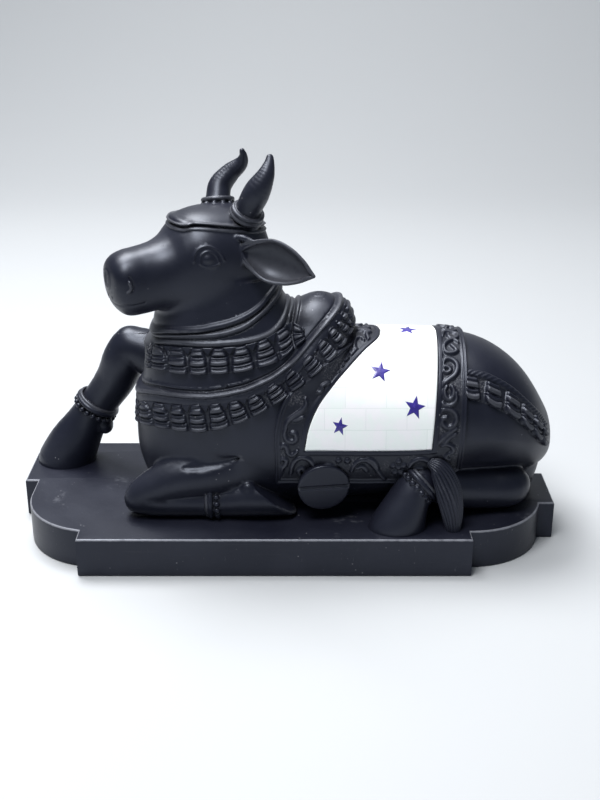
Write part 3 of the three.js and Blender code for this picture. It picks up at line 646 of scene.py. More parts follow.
# Meshes


@dataclass(frozen=True)
class Scale:
    """Turns parts of the figure into metres of the frame."""

    unit: float

    def metres(self, points: Array) -> Array:
        """Return the points of the figure as metres in the frame."""
        return (np.asarray(points, float) + (0, 0, DECK)) * self.unit


def paint(piece: bpy.types.Object, name: str, values: Array) -> None:
    """Store a value at each point of a piece."""
    layer = piece.data.attributes.new(name, "FLOAT", "POINT")
    layer.data.foreach_set("value", np.asarray(values, np.float32))


class MeshMaker:
    """Builds Blender objects out of arrays of points and faces."""

    band = 3.0

    def __init__(self, scale: Scale) -> None:
        """Keep the scale of the figure."""
        self.scale = scale

    def solid(self, name: str, points: Array, faces: Sequence[Array]) -> bpy.types.Object:
        """Make an object, shaded smooth.

        Args:
            name: name of the piece.
            points: rows of x, y and height in parts.
            faces: arrays of faces, each array of one count of corners.

        Returns:
            The new object, linked to the scene.
        """
        mesh = bpy.data.meshes.new(name)
        corners = np.concatenate([np.asarray(f, np.int32).ravel() for f in faces])
        counts = np.concatenate([np.full(len(f), np.asarray(f).shape[1], np.int32) for f in faces])
        starts = np.concatenate([[0], np.cumsum(counts)[:-1]]).astype(np.int32)
        mesh.vertices.add(len(points))
        mesh.vertices.foreach_set("co", self.scale.metres(points).astype(np.float32).ravel())
        mesh.loops.add(len(corners))
        mesh.loops.foreach_set("vertex_index", corners)
        mesh.polygons.add(len(counts))
        mesh.polygons.foreach_set("loop_start", starts)
        mesh.update(calc_edges=True)
        mesh.validate()
        mesh.polygons.foreach_set("use_smooth", np.ones(len(mesh.polygons), bool))
        piece = bpy.data.objects.new(name, mesh)
        bpy.context.scene.collection.objects.link(piece)
        return piece

    @staticmethod
    def grid_faces(rows: int, columns: int, around: bool = False) -> Array:
        """Return the faces of a grid of points.

        Args:
            rows: points along.
            columns: points across.
            around: whether the columns close on themselves.

        Returns:
            Rows of four corners.
        """
        i = np.arange(rows - 1)[:, None] * columns
        j = np.arange(columns if around else columns - 1)[None, :]
        k, m = i + columns, (j + 1) % columns
        return np.stack([i + j, i + m, k + m, k + j], -1).reshape(-1, 4)

    def mirrored(self, name: str, sheet: "Sheet", high: Array, worn_and_highlight: Pair, hollow: Pair) -> bpy.types.Object:
        """Make a sheet on the near side and its mirror image on the far side.

        Args:
            name: name of the piece.
            sheet: the near half.
            high: height of its relief, 1 for the full height.
            worn_and_highlight: between which heights the relief is lightened, for wear and as a painted
                highlight.
            hollow: below which height it is hollow, given painted shade and dust, and over how much that
                comes on.

        Returns:
            The new object.
        """
        points = sheet.placed()
        faces = self.grid_faces(*sheet.height.shape)
        both = np.concatenate([points, points * (1, -1, 1)])
        piece = self.solid(name, both, [faces[:, ::-1], faces + len(points)])
        # The crests are lightened, for wear and as a painted highlight; the hollows get painted shade and
        # dust.
        paint(piece, "wear_and_highlight", np.tile(ramp(high, *worn_and_highlight), 2))
        paint(piece, "cavity", np.tile(ramp(hollow[0] - high, 0, hollow[1]), 2))
        return piece

    def skin(
        self, name: str, sculpture: Sculpture, low: Point, high: Point, voxel: float, thin: float
    ) -> bpy.types.Object:
        """Skin a sculpture.

        Args:
            name: name of the piece.
            sculpture: what to skin.
            low: lowest corner of its box, in parts.
            high: highest corner.
            voxel: spacing of the samples.
            thin: how much flat places are thinned, from 0 to 1.

        Returns:
            The new object.
        """
        low_corner = np.asarray(low, float)
        counts = np.ceil((np.asarray(high) - low_corner) / (voxel * 8)).astype(int) * 8
        values = self.sample(sculpture, low_corner, voxel, counts)
        grid = openvdb.FloatGrid(self.band)
        grid.copyFromArray(values, tolerance=0.0)
        points, triangles, quads = grid.convertToPolygons(isovalue=0.0, adaptivity=thin)
        faces = [np.asarray(f) for f in (triangles, quads) if len(f)]
        return self.solid(name, np.asarray(points) * voxel + low_corner, faces)

    @staticmethod
    def sample(sculpture: Sculpture, low: Array, voxel: float, counts: Array) -> Array:
        """Sample a sculpture, finely near its skin and coarsely elsewhere.

        Args:
            sculpture: what is skinned.
            low: lowest corner of the grid.
            voxel: spacing of the samples.
            counts: samples each way, in whole blocks of eight.

        Returns:
            The distances, cut off away from the skin.
        """
        blocks_each = [np.arange(n) for n in counts // 8]
        cells = np.stack(np.meshgrid(*blocks_each, indexing="ij"), -1).reshape(-1, 3)
        halves = np.stack(np.meshgrid([0, 1], [0, 1], [0, 1], indexing="ij"), -1).reshape(-1, 3)
        values = np.full(counts, MeshMaker.band, np.float32)
        for size, margin in ((8, 1.15), (4, 0.85), (2, 1.0)):
            length = size * voxel
            rough = sculpture.distance(low + (cells + 0.5) * length - voxel / 2)
            shape = [n for count in counts for n in (count // size, size)]
            blocks = values.reshape(shape).transpose(0, 2, 4, 1, 3, 5)
            plain = np.clip(rough, -MeshMaker.band, MeshMaker.band)
            blocks[cells[:, 0], cells[:, 1], cells[:, 2]] = plain[:, None, None, None]
            near = cells[np.abs(rough) <= margin * length]
            cells = (near[:, None, :] * 2 + halves).reshape(-1, 3)
        exact = np.clip(sculpture.distance(low + cells * voxel), -MeshMaker.band, MeshMaker.band)
        values[cells[:, 0], cells[:, 1], cells[:, 2]] = exact
        return values


# The body


def level(rows: Rows, square: float) -> Sections:
    """Return a column of level sections.

    Args:
        rows: height, front x, back x, half width and y of the middle.
        square: squareness of the sections.

    Returns:
        The form, still without a box.
    """
    middle = Table([(row[0], row[4]) for row in rows])
    full = [(row[0], row[2], (row[1] + row[2]) / 2, row[1], row[3], square, square) for row in rows]
    return Sections(full, lambda p: (p[:, 2], p[:, 0], p[:, 1] - middle(p[:, 2])[0]))


@dataclass
class Trunk:
    """The barrel, the chest and neck, the hump and the haunches."""

    barrel: Rows = (
        (-72, 92, 50, -1, 34, 2.1, 1.9), (-50, 108, 52, -1, 44, 2.1, 1.9), (-20, 115, 55, -1, 50, 2.1, 1.9),
        (20, 118, 57, -1, 52.5, 2.1, 1.9), (60, 118.5, 57, -1, 53, 2.1, 1.9),
        (100, 118, 58, -1, 53, 2.1, 1.8), (121, 116, 62, 3, 54, 2.1, 1.4),
        (134, 112.5, 63, 7, 54.3, 2.1, 1.3), (148, 105.3, 61, 10, 51.6, 2.1, 1.3),
        (160, 96, 57, 13, 45, 2.1, 1.35), (170, 84.5, 53, 17, 37.5, 2.1, 1.5),
        (179, 70, 48, 23, 26, 2.1, 1.8), (185, 57, 43, 30, 14, 2.1, 2), (187.5, 43, 39, 35, 3, 2.1, 2),
    )
    neck: Rows = (
        (-3, -90, 20, 34, 0), (20, -98, 28, 42, 0), (38, -102.5, 33, 47, 0), (55, -103, 35, 49.5, 0),
        (75, -101.5, 36, 50.5, 0), (90, -97.5, 34, 49.5, 0), (104, -95.5, 31, 47, 0),
        (113, -94.5, 28, 45, 0), (118, -89.5, 24, 42.5, 0), (130, -88.5, 13, 40.5, 0), (140, -86, 4, 38, 0),
        (150, -80, -2, 35, 0), (162, -70, -6, 30, 0),
    )
    hump: Rows = (
        (90, -12, 43, 44, 0), (100, -12, 45, 44, 0), (112, -10, 46, 41, 0), (122, -7, 46, 35, 0),
        (132, -1, 44.5, 28, 0), (139, 5.5, 41, 21, 0), (144, 14, 34, 13, 0), (146.8, 20, 28, 5, 0),
    )
    haunches: Rows = ((-3, -60, 176, 27, 5), (18, -60, 182, 29, 6), (40, -60, 184, 31, 6))

    def sculpt(self) -> Sculpture:
        """Return the trunk as a sculpture of its own.

        Returns:
            The trunk, with its four forms joined.
        """
        body = Sculpture()
        barrel = Sections(self.barrel, lambda p: (p[:, 0], p[:, 2], p[:, 1]))
        body.add(barrel.box((-80, -66, -4), (200, 66, 130)))
        body.add(level(self.neck, 2.3).box((-116, -62, -4), (48, 62, 176)), 6)
        body.add(level(self.hump, 2.2).box((-26, -58, 82), (60, 58, 158)), 4)
        body.add(level(self.haunches, 2.4).box((-72, -38, -4), (196, 48, 50)), 3)
        return body


TRUNK = Trunk()


def barrel_skin(x: Array, girth: Array) -> Array:
    """Return points on the barrel.

    Args:
        x: place along the back.
        girth: angle from the spine in degrees, near side first.

    Returns:
        Points of the figure.
    """
    top, widest, bottom, half, square_up, square_down = Table(TRUNK.barrel)(x)
    cos, sin = np.cos(np.radians(girth)), np.sin(np.radians(girth))
    square = np.where(cos > 0, square_up, square_down)
    reach = np.where(cos > 0, top - widest, widest - bottom)
    y = -half * np.sign(sin) * np.abs(sin) ** (2 / square)
    return np.stack([x, y, widest + reach * np.sign(cos) * np.abs(cos) ** (2 / square)], -1)


def settle(body: Sculpture, points: Array, rounds: int = 3) -> tuple[Array, Array]:
    """Move points onto the skin of a sculpture.

    Args:
        body: the sculpture.
        points: points near its skin.
        rounds: how often each is moved.

    Returns:
        Points on the skin and the way out at each.
    """
    for _ in range(rounds):
        out = body.normals(points)
        points = points - out * body.distance(points)[:, None]
    return points, out


# Lines laid round the neck, as heights for each x

UPPER_TOP: Rows = (
    (-96, 113.2), (-93.7, 114.6), (-82.7, 118.6), (-69, 121.1), (-54, 122.4), (-42, 122.9), (-26, 124.6),
    (-12, 128.1), (-2.3, 131.9), (3, 133.3), (8.6, 133.1), (12.8, 131.5), (18, 129),
)
UPPER_FOOT: Rows = (
    (-98, 98), (-89.3, 102), (-82.5, 104), (-73.5, 104.5), (-62.2, 104.8), (-45.6, 106.2), (-32.5, 107),
    (-21.7, 108.8), (-12, 110.6), (-0.6, 114), (9.7, 120.6), (16.2, 126.2), (18, 127.6),
)
ROPE: Rows = (
    (-105, 80.5), (-100, 83.5), (-92.3, 87.5), (-82.7, 90), (-73.8, 90.9), (-62.4, 91.6), (-50, 92.4),
    (-40.3, 93.9), (-32.1, 95.6), (-25, 97.4), (-16.9, 100.4), (-6.2, 105), (4.8, 112.3), (13, 121),
    (20, 128.3), (26.6, 134.4), (32.2, 139.2), (37.4, 143.6), (41, 147),
)
LOWER_TOP: Rows = (
    (-105, 72.4), (-100.9, 75), (-90.5, 80.6), (-80, 82.7), (-68, 84.4), (-57, 86.2), (-43.7, 87.9),
    (-30, 90.1), (-21.8, 92.7), (-10.1, 98.7), (1, 106), (10.8, 113.6), (20.6, 122.3), (27.2, 129),
    (33.9, 135.5), (38.1, 139.5), (42, 143), (47, 146),
)
LOWER_FOOT: Rows = (
    (-105, 57.5), (-102.6, 59.6), (-90.4, 63.8), (-79.4, 65.3), (-68.9, 65.9), (-55.4, 66.2), (-45.3, 68.1),
    (-35.3, 71.3), (-22, 77), (-12.1, 82.2), (1, 89.5), (10.8, 96.4), (22.6, 106.3), (33.8, 115.2),
    (40.6, 121.5), (44.9, 126), (48, 129),
)
THROAT_ONE: Rows = (
    (-92, 124.4), (-79, 130.2), (-67.3, 132.7), (-53.4, 134.6), (-45.2, 136.5), (-37.1, 138.3),
    (-29.1, 140.7), (-21, 144), (-14.1, 148), (-10.4, 151.4), (-5.2, 155.5), (0, 158),
)
THROAT_TWO: Rows = (
    (-92, 121.4), (-77.9, 127.2), (-67.3, 129.2), (-56.6, 130.2), (-45.3, 131.2), (-34.4, 133.4),
    (-23.7, 137.2), (-14.1, 142.9), (-6, 148.3), (-1, 152), (4, 155),
)
STEP: Rows = (
    (-97, 113.4), (-95.5, 114.3), (-82.7, 120.4), (-73.3, 123.2), (-61.9, 124.4), (-53.6, 124.7),
    (-45.4, 125.2), (-34.5, 126.1), (-23.7, 127.2), (-14.1, 128.9), (-7.1, 131.3), (-1.8, 135), (1.6, 139),
    (3.4, 143), (5, 148), (6.5, 153), (8, 158),
)
NAPE_ONE: Rows = ((2.5, 132), (3.4, 134.8), (4.6, 137.6), (6.3, 141.5), (8, 146), (9.5, 151), (11, 156))
NAPE_TWO: Rows = ((6, 130), (7.3, 134.2), (8.6, 138.6), (9.9, 143), (11.4, 148), (13, 153))
SEAM: Rows = (
    (-98, 105.5), (-89, 109), (-82, 111.4), (-69, 112.8), (-54, 113.8), (-42, 114.8), (-26, 116.4),
    (-12, 119.6), (-2, 123), (5, 126), (11, 127), (16, 127.6), (20, 130.3), (26.6, 136.3), (32.2, 141.2),
    (37.4, 145.7), (44, 151),
)


def halfway(top: Rows, foot: Rows, part: float) -> Rows:
    """Return a line between two lines round the neck.

    Args:
        top: x and height of the upper line.
        foot: x and height of the lower line.
        part: share of the way from the upper to the lower line.

    Returns:
        x and height of the new line.
    """
    xs = np.linspace(-106, 50, 40)
    above, below = read(top, xs), read(foot, xs)
    return list(zip(xs, above + (below - above) * part))


def off_line(rows: Rows, rise: float = 0.0) -> Line:
    """Return how far points lie above a line round the neck.

    Args:
        rows: x and height of the line.
        rise: how far the line is moved up.

    Returns:
        A function of points.
    """
    line = Table(rows)

    def measure(points: Array) -> Array:
        """Return the height over the line, square to it."""
        slope = (line(points[:, 0] + 1)[0] - line(points[:, 0] - 1)[0]) / 2
        return (points[:, 2] - line(points[:, 0])[0] - rise) / np.sqrt(1 + slope * slope)

    return measure


@dataclass(frozen=True)
class Cord:
    """A line raised round the neck, or a groove beside one where the radius is below zero."""

    line: Rows
    radius: float
    blend: float
    within: Box
    rise: float = 0.0


NECK_BOX: Box = ((-118, -64, 100), (30, 64, 172))
NAPE_BOX: Box = ((-6, -64, 133), (20, 64, 160))


@dataclass
class Collars:
    """The rope over the shoulders, the folds of the throat and the step over the upper garland."""

    band_height: float = 8.8
    band_swell: float = 1.8
    cords: Sequence[Cord] = (
        Cord(ROPE, 1.9, 0.9, ((-118, -64, 60), (56, 64, 152))),
        Cord(ROPE, -0.6, 0.8, ((-118, -64, 60), (50, 64, 152)), 2.2),
        Cord(ROPE, 0.6, 1.2, ((-118, -64, 60), (-20, 64, 152)), 4.2),
        Cord(STEP, 1.5, 1.4, NECK_BOX),
        Cord(NAPE_ONE, 1.2, 1.0, NAPE_BOX),
        Cord(NAPE_TWO, 1.3, 1.0, NAPE_BOX),
        Cord(THROAT_TWO, 1.7, 1.0, NECK_BOX),
        Cord(THROAT_ONE, 2.0, 1.0, NECK_BOX),
        Cord(THROAT_ONE, -0.7, 0.5, NECK_BOX, -2.3),
        Cord(THROAT_TWO, -0.6, 0.5, NECK_BOX, -2.4),
    )

    def swell(self, points: Array) -> Array:
        """Return how far the band under the rope stands out."""
        share = -off_line(ROPE, 0.8)(points) / self.band_height
        return self.band_swell * np.sqrt(np.clip(1 - (2 * share - 1) ** 2, 0, 1))

    def sculpt(self, figure: Sculpture) -> None:
        """Raise the lines on the neck and shoulders.

        Args:
            figure: what they are joined to.
        """
        figure.layers.append(Layer(Swell(self.swell).box((-118, -64, 56), (56, 64, 152))))
        for cord in self.cords:
            figure.ridge(off_line(cord.line, cord.rise), cord.radius, *cord.within, cord.blend)


@dataclass
class Legs:
    """The folded legs with their hooves and anklets."""

    near_forearm: Rows = (
        (-12, -20, 38, 23), (-30, -27, 34.5, 21.8), (-47, -33, 31.3, 19.8), (-70, -37, 27.4, 16.4),
        (-86, -39, 21.3, 13.6), (-95, -39.5, 16, 12), (-98.6, -39.5, 12.4, 11.4),
    )
    arm_crease: Rows = (
        (-67, -49.4, 39.6, 0.4), (-60, -50.4, 41, 2), (-51, -50.8, 42.6, 2.5), (-40, -50, 44.8, 2.3),
        (-28, -47.2, 47.6, 0.5),
    )
    near_fore_shank: Rows = (
        (-98, -38, 12.3, 8.2), (-93, -39.4, 12, 11.9), (-76, -40, 11.6, 12), (-50, -40, 11.4, 11.8),
        (-35, -40, 12.6, 13.1), (-22, -40, 14.3, 14.6), (-9, -40, 14, 14.2), (1.5, -40, 12, 11.8),
    )
    far_forearm: Rows = (
        (-62, 30, 62, 23), (-82, 36, 78, 18.5), (-100, 40, 90, 16), (-113, 42, 92, 13.5),
        (-120, 43, 88, 8.5),
    )
    far_fore_shank: Rows = (
        (-112, 42, 96, 12.2), (-117, 43, 84, 15.5), (-124, 45, 68, 14.8), (-134, 47, 53, 13.8),
        (-143, 48, 41, 13.7), (-151, 49, 28, 15.5), (-160, 49, 13, 18.8), (-167, 49, -1, 20.6),
    )
    near_shank: Rows = (
        (163, -26, 17, 7), (155, -28, 16.5, 14.8), (140, -29, 16.5, 16), (122, -35, 19, 15),
        (104, -43, 25, 13.2), (92, -48, 29, 12.5),
    )
    near_hind_hoof: Rows = (
        (-3, 56, 96, 15, -58), (4, 58, 96, 15, -57.5), (12, 63, 97, 14.5, -56), (22, 70, 99, 13.5, -53.5),
        (32, 77, 101, 12, -51), (38, 82, 100, 9, -49),
    )
    sole: tuple[Point, Point] = ((-10, -40, 17.5), (0.616, 0, 0.788))
    disc_face: Point = (27, -54.2, 27.0)
    disc_normal: Point = (0.1207, -0.983, -0.139)
    disc_radius: float = 18.0
    disc_depth: float = 20.0
    dewclaws: Rows = ((-36.5, -45.5, 24.8), (-24.5, -47.5, 24.5))
    dewclaw_radius: float = 4.0
    bead_radius: float = 2.1
    bead_offset: float = 4.4
    anklets: Sequence[tuple[Point, Point, float, int]] = (
        ((-50, -40, 12), (1, 0, 0.03), 12.0, 17),
        ((-139.5, 47.5, 46.5), (-0.5, 0.06, -0.86), 14.5, 20),
        ((92, -49.5, 29), (-0.75, -0.25, -0.6), 12.5, 18),
    )

    def sculpt(self, figure: Sculpture) -> None:
        """Join the legs to the figure.

        Args:
            figure: what they are joined to.
        """
        far_shank = [(x, -y, h, r) for x, y, h, r in self.near_shank][:4]
        figure.add(Limb(self.far_forearm, 10), 5)
        figure.add(Limb(self.far_fore_shank, 8), 2)
        figure.add(Limb(self.near_shank, 8), 2.5)
        figure.add(Limb(far_shank), 2.5)
        figure.add(Limb(self.near_forearm, 14), 3)
        figure.add(self.folded_hoof(), 1.2)
        figure.add(level(self.near_hind_hoof, 2).box((46, -82, -4), (112, -32, 48)), 1.5)
        self.disc_hoof(figure)
        figure.add(Egg((-134.5, 44.5, 30), (6, 8, 7)), 2.5)
        figure.carve(Limb(self.arm_crease), 2.8)
        for place, normal, radius, count in self.anklets:
            self.anklet(figure, np.asarray(place, float), np.asarray(normal, float), radius, count)

    def folded_hoof(self) -> Form:
        """Return the folded foreleg, its hoof cut off slantwise, with its two dewclaws.

        Returns:
            The leg as one form.
        """
        leg = Sculpture()
        leg.add(Limb(self.near_fore_shank))
        place, normal = self.sole
        leg.carve(Plane(place, normal), 0.8)
        leg.add(Beads(self.dewclaws, self.dewclaw_radius), 3)
        return Inner(leg).box((-120, -66, -4), (24, -20, 40))

    def disc_hoof(self, figure: Sculpture) -> None:
        """Join the hoof that comes out under the belly, its round cloven sole to the near side.

        Args:
            figure: what it is joined to.
        """
        normal = np.asarray(self.disc_normal)
        figure.add(Disc(self.disc_face, self.disc_normal, self.disc_radius, self.disc_depth, 1.6, 4), 1)
        middle = np.asarray(self.disc_face) + normal * 0.2
        along = np.cross(normal, (0, 0, 1))
        along = along / np.linalg.norm(along) + np.array((0, 0, -0.01))
        line = [(*(middle + along * reach + (0, 0, 0.8)), 1.15) for reach in (-20, 0, 20)]
        figure.carve(Limb(line, 2), 0.4)

    def anklet(self, figure: Sculpture, place: Array, normal: Array, radius: float, count: int) -> None:
        """Put a round band and a string of beads round a leg.

        Args:
            figure: what it is joined to.
            place: middle of the band.
            normal: axis of the leg.
            radius: radius of the leg.
            count: number of beads.
        """
        normal = normal / np.linalg.norm(normal)
        side = np.cross(normal, (0.1, 0.9, 0.3))
        side /= np.linalg.norm(side)
        up = np.cross(normal, side)
        turns = TURN * np.arange(count) / count
        string = place + normal * self.bead_offset
        balls = [string + (side * math.cos(t) + up * math.sin(t)) * (radius + 0.6) for t in turns]
        figure.add(Ring(tuple(place), tuple(normal), radius + 0.3, 2.0), 0.5)
        figure.add(Ring(tuple(place - normal * 2.6), tuple(normal), radius + 0.1, 1.1), 0.3)
        figure.add(Beads(balls, self.bead_radius), 0.3)


class InHead(Form):
    """A form given in the frame of the head, on one side or on both."""

    def __init__(self, form: Form, both: bool = False) -> None:
        """Keep the form, and whether it stands on both sides of the head."""
        self.form, self.both = form, both
        self.box((-150, -90, 112), (20, 90, 245))

    def distance(self, points: Array) -> Array:
        """Return the distance to the form or the nearer of the two.

        Args:
            points: rows of x, y and height.

        Returns:
            Distances, negative inside.
        """
        forward, side, height = HEAD.local(points)
        side = np.abs(side) if self.both else side
        return self.form.distance(np.stack([forward, side, height], 1))


def drawn(places: Rows) -> Line:
    """Return the distance to a smooth line drawn on the side of the head.

    Args:
        places: forward and height of the line.

    Returns:
        A function of points.
    """
    track = Limb([(forward, 0, height, 0) for forward, height in places], 4)

    def measure(points: Array) -> Array:
        """Return the distance to the line, seen from the side."""
        forward, _, height = HEAD.local(points)
        return track.distance(np.stack([forward, np.zeros(len(points)), height], 1))

    return measure


@dataclass
class Head:
    """The head with its cap, horns, ears, eyes and muzzle."""

    skull: Rows = (
        (-35, 184, 170, 156, 9), (-31, 193, 172, 146, 19), (-22, 201, 172, 138, 27),
        (-12, 205, 172, 132, 31), (0, 206, 172, 130, 33), (12, 205.5, 173, 131, 33),
        (22, 203, 173, 134, 30.5), (29, 198.5, 171, 138, 27.5), (36, 191.5, 168, 141, 24),
        (44, 187.5, 165, 142.5, 21.5), (54, 185.5, 163, 141.5, 20), (64, 184, 163, 141.5, 19.5),
        (70, 181.5, 165, 145.5, 17.5), (74, 177.5, 167, 152.5, 13), (76, 173, 168, 161, 6),
    )
    squareness: float = 2.2
    brow: Rows = (
        (24, -15, 198.8, 1.2), (26.6, -8, 199.6, 1.6), (27.4, 0, 199.9, 1.7), (26.6, 8, 199.6, 1.6),
        (24, 15, 198.8, 1.2),
    )
    cap_line: Rows = (
        (-32, 193.2), (-20, 195), (-8, 197), (5, 199.2), (15, 200.6), (23, 200.8), (28.6, 199.4),
    )
    cap_step: float = 1.4
    near_horn: Rows = (
        (-23.5, -8, 200, 9.5), (-22.5, -11.6, 207, 8.4), (-16.8, -16, 219, 8.6), (-11.4, -16.5, 229, 6),
        (-8.8, -14, 236.5, 3.5), (-8.3, -12, 240.4, 2.4),
    )
    far_horn: Rows = (
        (-44, 13, 202, 9.5), (-43.8, 16, 208, 8.2), (-42.5, 21, 215.5, 7.8), (-35.5, 23, 223.5, 6.4),
        (-28.6, 21.5, 229.5, 4.7), (-26.6, 19, 235, 2.8), (-27.3, 17.5, 239, 1.8),
    )
    near_ring: tuple[Point, Point] = ((-22.8, -11.3, 205.5), (0.35, -0.35, 0.87))
    far_ring: tuple[Point, Point] = ((-44, 15.6, 207), (-0.05, 0.3, 0.95))
    ring_radius: float = 9.6
    ring_tube: float = 1.7
    curls: int = 22
    curl_radius: float = 1.9
    near_ear: tuple[Point, Point] = ((-5.2, 30.4, 183.3), (-37.8, 69.6, 172.5))
    far_ear: tuple[Point, Point] = ((-5.2, -30.4, 183.3), (-37.8, -62.5, 172.5))
    leaf: Rows = (
        (-0.04, 0.2), (0, 0.34), (0.14, 0.66), (0.38, 1), (0.62, 0.9), (0.82, 0.56), (0.95, 0.2), (1, 0.05),
    )
    hollow: Rows = (
        (0.02, 0.1), (0.07, 0.34), (0.18, 0.68), (0.38, 1), (0.62, 0.9), (0.82, 0.56), (0.93, 0.22),
        (0.97, 0.1),
    )
    lobe: Rows = ((-7, 6.5, 1.6), (-1, 8.3, 2.2), (5, 8.6, 1.2))
    ear_half: float = 13.8
    ear_dish: float = 8.4
    ear_skin: float = 1.9
    outer_lid: Rows = ((28.5, 179.5), (27.5, 184), (24, 188.3), (18, 190.2), (12, 188), (8, 183.8), (6, 179))
    inner_lid: Rows = (
        (24, 178.5), (23.3, 183), (20, 185.8), (16.5, 186.2), (12.5, 184), (10.5, 180), (10.2, 177),
    )
    lower_lid: Rows = ((24.5, 177.5), (21, 175.6), (17.5, 174.8), (13.5, 175.2), (9.5, 177.2))
    eye_scale: float = 0.84
    eye_middle: Pair = (17.0, 180.6)
    eyeball: Egg = Egg((17, 27.4, 180.2), (4.6, 5.0, 3.9))
    nostril: Rows = ((66.2, 171.4), (65.2, 169), (64.4, 166), (65, 163.6), (66.6, 162.6))
    mouth: Rows = ((78, 151.6), (70, 152), (64, 152.4), (57, 153.6))

    def over_cap(self, points: Array) -> Array:
        """Return how far points lie above the rolled edge of the cap."""
        forward, _, height = HEAD.local(points)
        return height - read(self.cap_line, forward)

    def sculpt(self, figure: Sculpture) -> None:
        """Join the head to the figure.

        Args:
            figure: what it is joined to.
        """
        about = ((-150, -90, 112), (20, 90, 245))
        rows = [(*row, self.squareness, self.squareness) for row in self.skull]
        skull = Sections(rows, lambda p: (p[:, 0], p[:, 2], p[:, 1])).box((-50, -50, 100), (90, 50, 230))
        figure.add(InHead(skull), 5)
        figure.add(InHead(Limb(self.brow)), 2.5)
        cap = Swell(lambda points: self.cap_step * ramp(self.over_cap(points), -0.9, 0.9))
        figure.layers.append(Layer(cap.box((-100, -50, 185), (10, 50, 225))))
        for drop, radius in ((-0.2, 0.9), (2.5, 1.0), (1.2, -0.5)):
            figure.ridge(lambda p, drop=drop: self.over_cap(p) + drop, radius, *about)
        self.face(figure, about)
        self.horns(figure)
        for root, tip in (self.near_ear, self.far_ear):
            self.ear(figure, root, tip)

    def face(self, figure: Sculpture, about: Box) -> None:
        """Cut the eyes, nostrils and mouth.

        Args:
            figure: what they are cut into.
            about: corners of the box round the head.
        """
        figure.add(InHead(self.eyeball, True), 1.2)
        ahead, up = self.eye_middle
        for lid, radius in ((self.outer_lid, 0.6), (self.inner_lid, 0.5), (self.lower_lid, 0.45)):
            small = [(ahead + (f - ahead) * self.eye_scale, up + (h - up) * self.eye_scale) for f, h in lid]
            figure.ridge(drawn(small), radius, *about)
        figure.ridge(drawn(self.nostril), -0.8, *about)
        figure.ridge(drawn([(f + 1.6, h - 0.6) for f, h in self.nostril[1:]]), 0.8, *about)
        figure.ridge(drawn(self.mouth), -0.45, *about)

    def horns(self, figure: Sculpture) -> None:
        """Join the horns with the collars and the carved tufts at their roots.

        Args:
            figure: what they are joined to.
        """
        for rows, (place, normal) in ((self.near_horn, self.near_ring), (self.far_horn, self.far_ring)):
            figure.add(Limb(rows), 1)
            figure.add(Ring(place, normal, self.ring_radius, self.ring_tube), 0.8)
            axis = np.asarray(normal) / np.linalg.norm(normal)
            if rows is self.far_horn:
                self.tuft(figure, np.asarray(place), axis)
            else:
                lower = tuple(np.asarray(place) - 2.9 * axis)
                figure.add(Ring(lower, normal, self.ring_radius + 0.6, 1.5), 0.8)

    def tuft(self, figure: Sculpture, place: Array, normal: Array) -> None:
        """Carve the curls under a horn's collar.

        Args:
            figure: what they are joined to.
            place: middle of the collar.
            normal: axis of the collar.
        """
        side = np.cross(normal, (0, 1, 0.2))
        side /= np.linalg.norm(side)
        front = np.cross(normal, side)
        places = []
        for i in range(self.curls):
            turn = TURN * i / self.curls
            out, drop = (0.4, 3.2) if i % 2 else (1.1, 4.8)
            way = side * math.cos(turn) + front * math.sin(turn)
            places.append(place - normal * drop + way * (self.ring_radius + out))
        figure.add(Beads(places, self.curl_radius), 0.7)

    def ear(self, figure: Sculpture, root: Point, tip: Point) -> None:
        """Join a hollow, leaf-shaped ear.

        Args:
            figure: what it is joined to.
            root: root of the ear in the head's frame.
            tip: tip of the ear in the head's frame.
        """
        start, end = np.asarray(HEAD.place(*root)), np.asarray(HEAD.place(*tip))
        axis = end - start
        length = float(np.linalg.norm(axis))
        axis /= length
        middle = np.asarray(HEAD.place(0, 0, 0))
        sideways = np.asarray(HEAD.place(0, math.copysign(1, root[1]), 0)) - middle
        ahead = np.asarray(HEAD.place(1, 0, 0)) - middle
        blade = np.cross(axis, sideways + 0.3 * ahead)
        blade *= math.copysign(1, blade[2]) / np.linalg.norm(blade)
        face = np.cross(blade, axis)
        face *= math.copysign(1, float(face @ sideways)) / np.linalg.norm(face)

        def split(points: Array) -> tuple[Array, Array, Array]:
            """Return the place along the ear, out of its hollow and across it."""
            p = points - start
            return p @ axis, p @ face, p @ blade

        dish, half, skin = self.ear_dish, self.ear_half, self.ear_skin
        whole = [(s * length, 1.0, 0, -dish * w - 1.3, half * w, 2, 2) for s, w in self.leaf]
        hollow = [
            (s * length, 12.0, 0.6, -dish * w + 0.5, max(half * w - skin, 0.2), 2, 2) for s, w in self.hollow
        ]
        low, high = np.minimum(start, end) - 18, np.maximum(start, end) + 18
        leaf = Sculpture()
        leaf.add(Sections(whole, split).box(low, high))
        for way in (-1, 1):
            rim = [start + axis * length * s + blade * (way * (half * w - 0.5)) for s, w in self.leaf[1:]]
            leaf.add(Limb([(*p, 1.0) for p in rim], 3), 0.8)
        leaf.carve(Sections(hollow, split).box(low, high), 0.8)
        figure.add(Inner(leaf).box(low, high), 1.2)
        lobe = [(*(start + axis * a + blade * b), radius) for a, b, radius in self.lobe]
        figure.add(Limb(lobe), 1.5)


# Pieces laid on the figure as sheets with a carved relief


def beside(body: Sculpture, start: Array) -> Array:
    """Return where level rays to the near side, from points within a body, leave it."""
    reach = body.land(start, np.tile((0.0, -1.0, 0.0), (len(start), 1)), 70)
    return start + np.stack([0 * reach, -reach, 0 * reach], 1)


@dataclass
class Sheet:
    """A grid of points on the skin, the way out at each, and the height of the relief there."""

    points: Array
    out: Array
    height: Array

    def placed(self) -> Array:
        """Return the points of the relief, row after row."""
        return (self.points + self.out * self.height[..., None]).reshape(-1, 3)


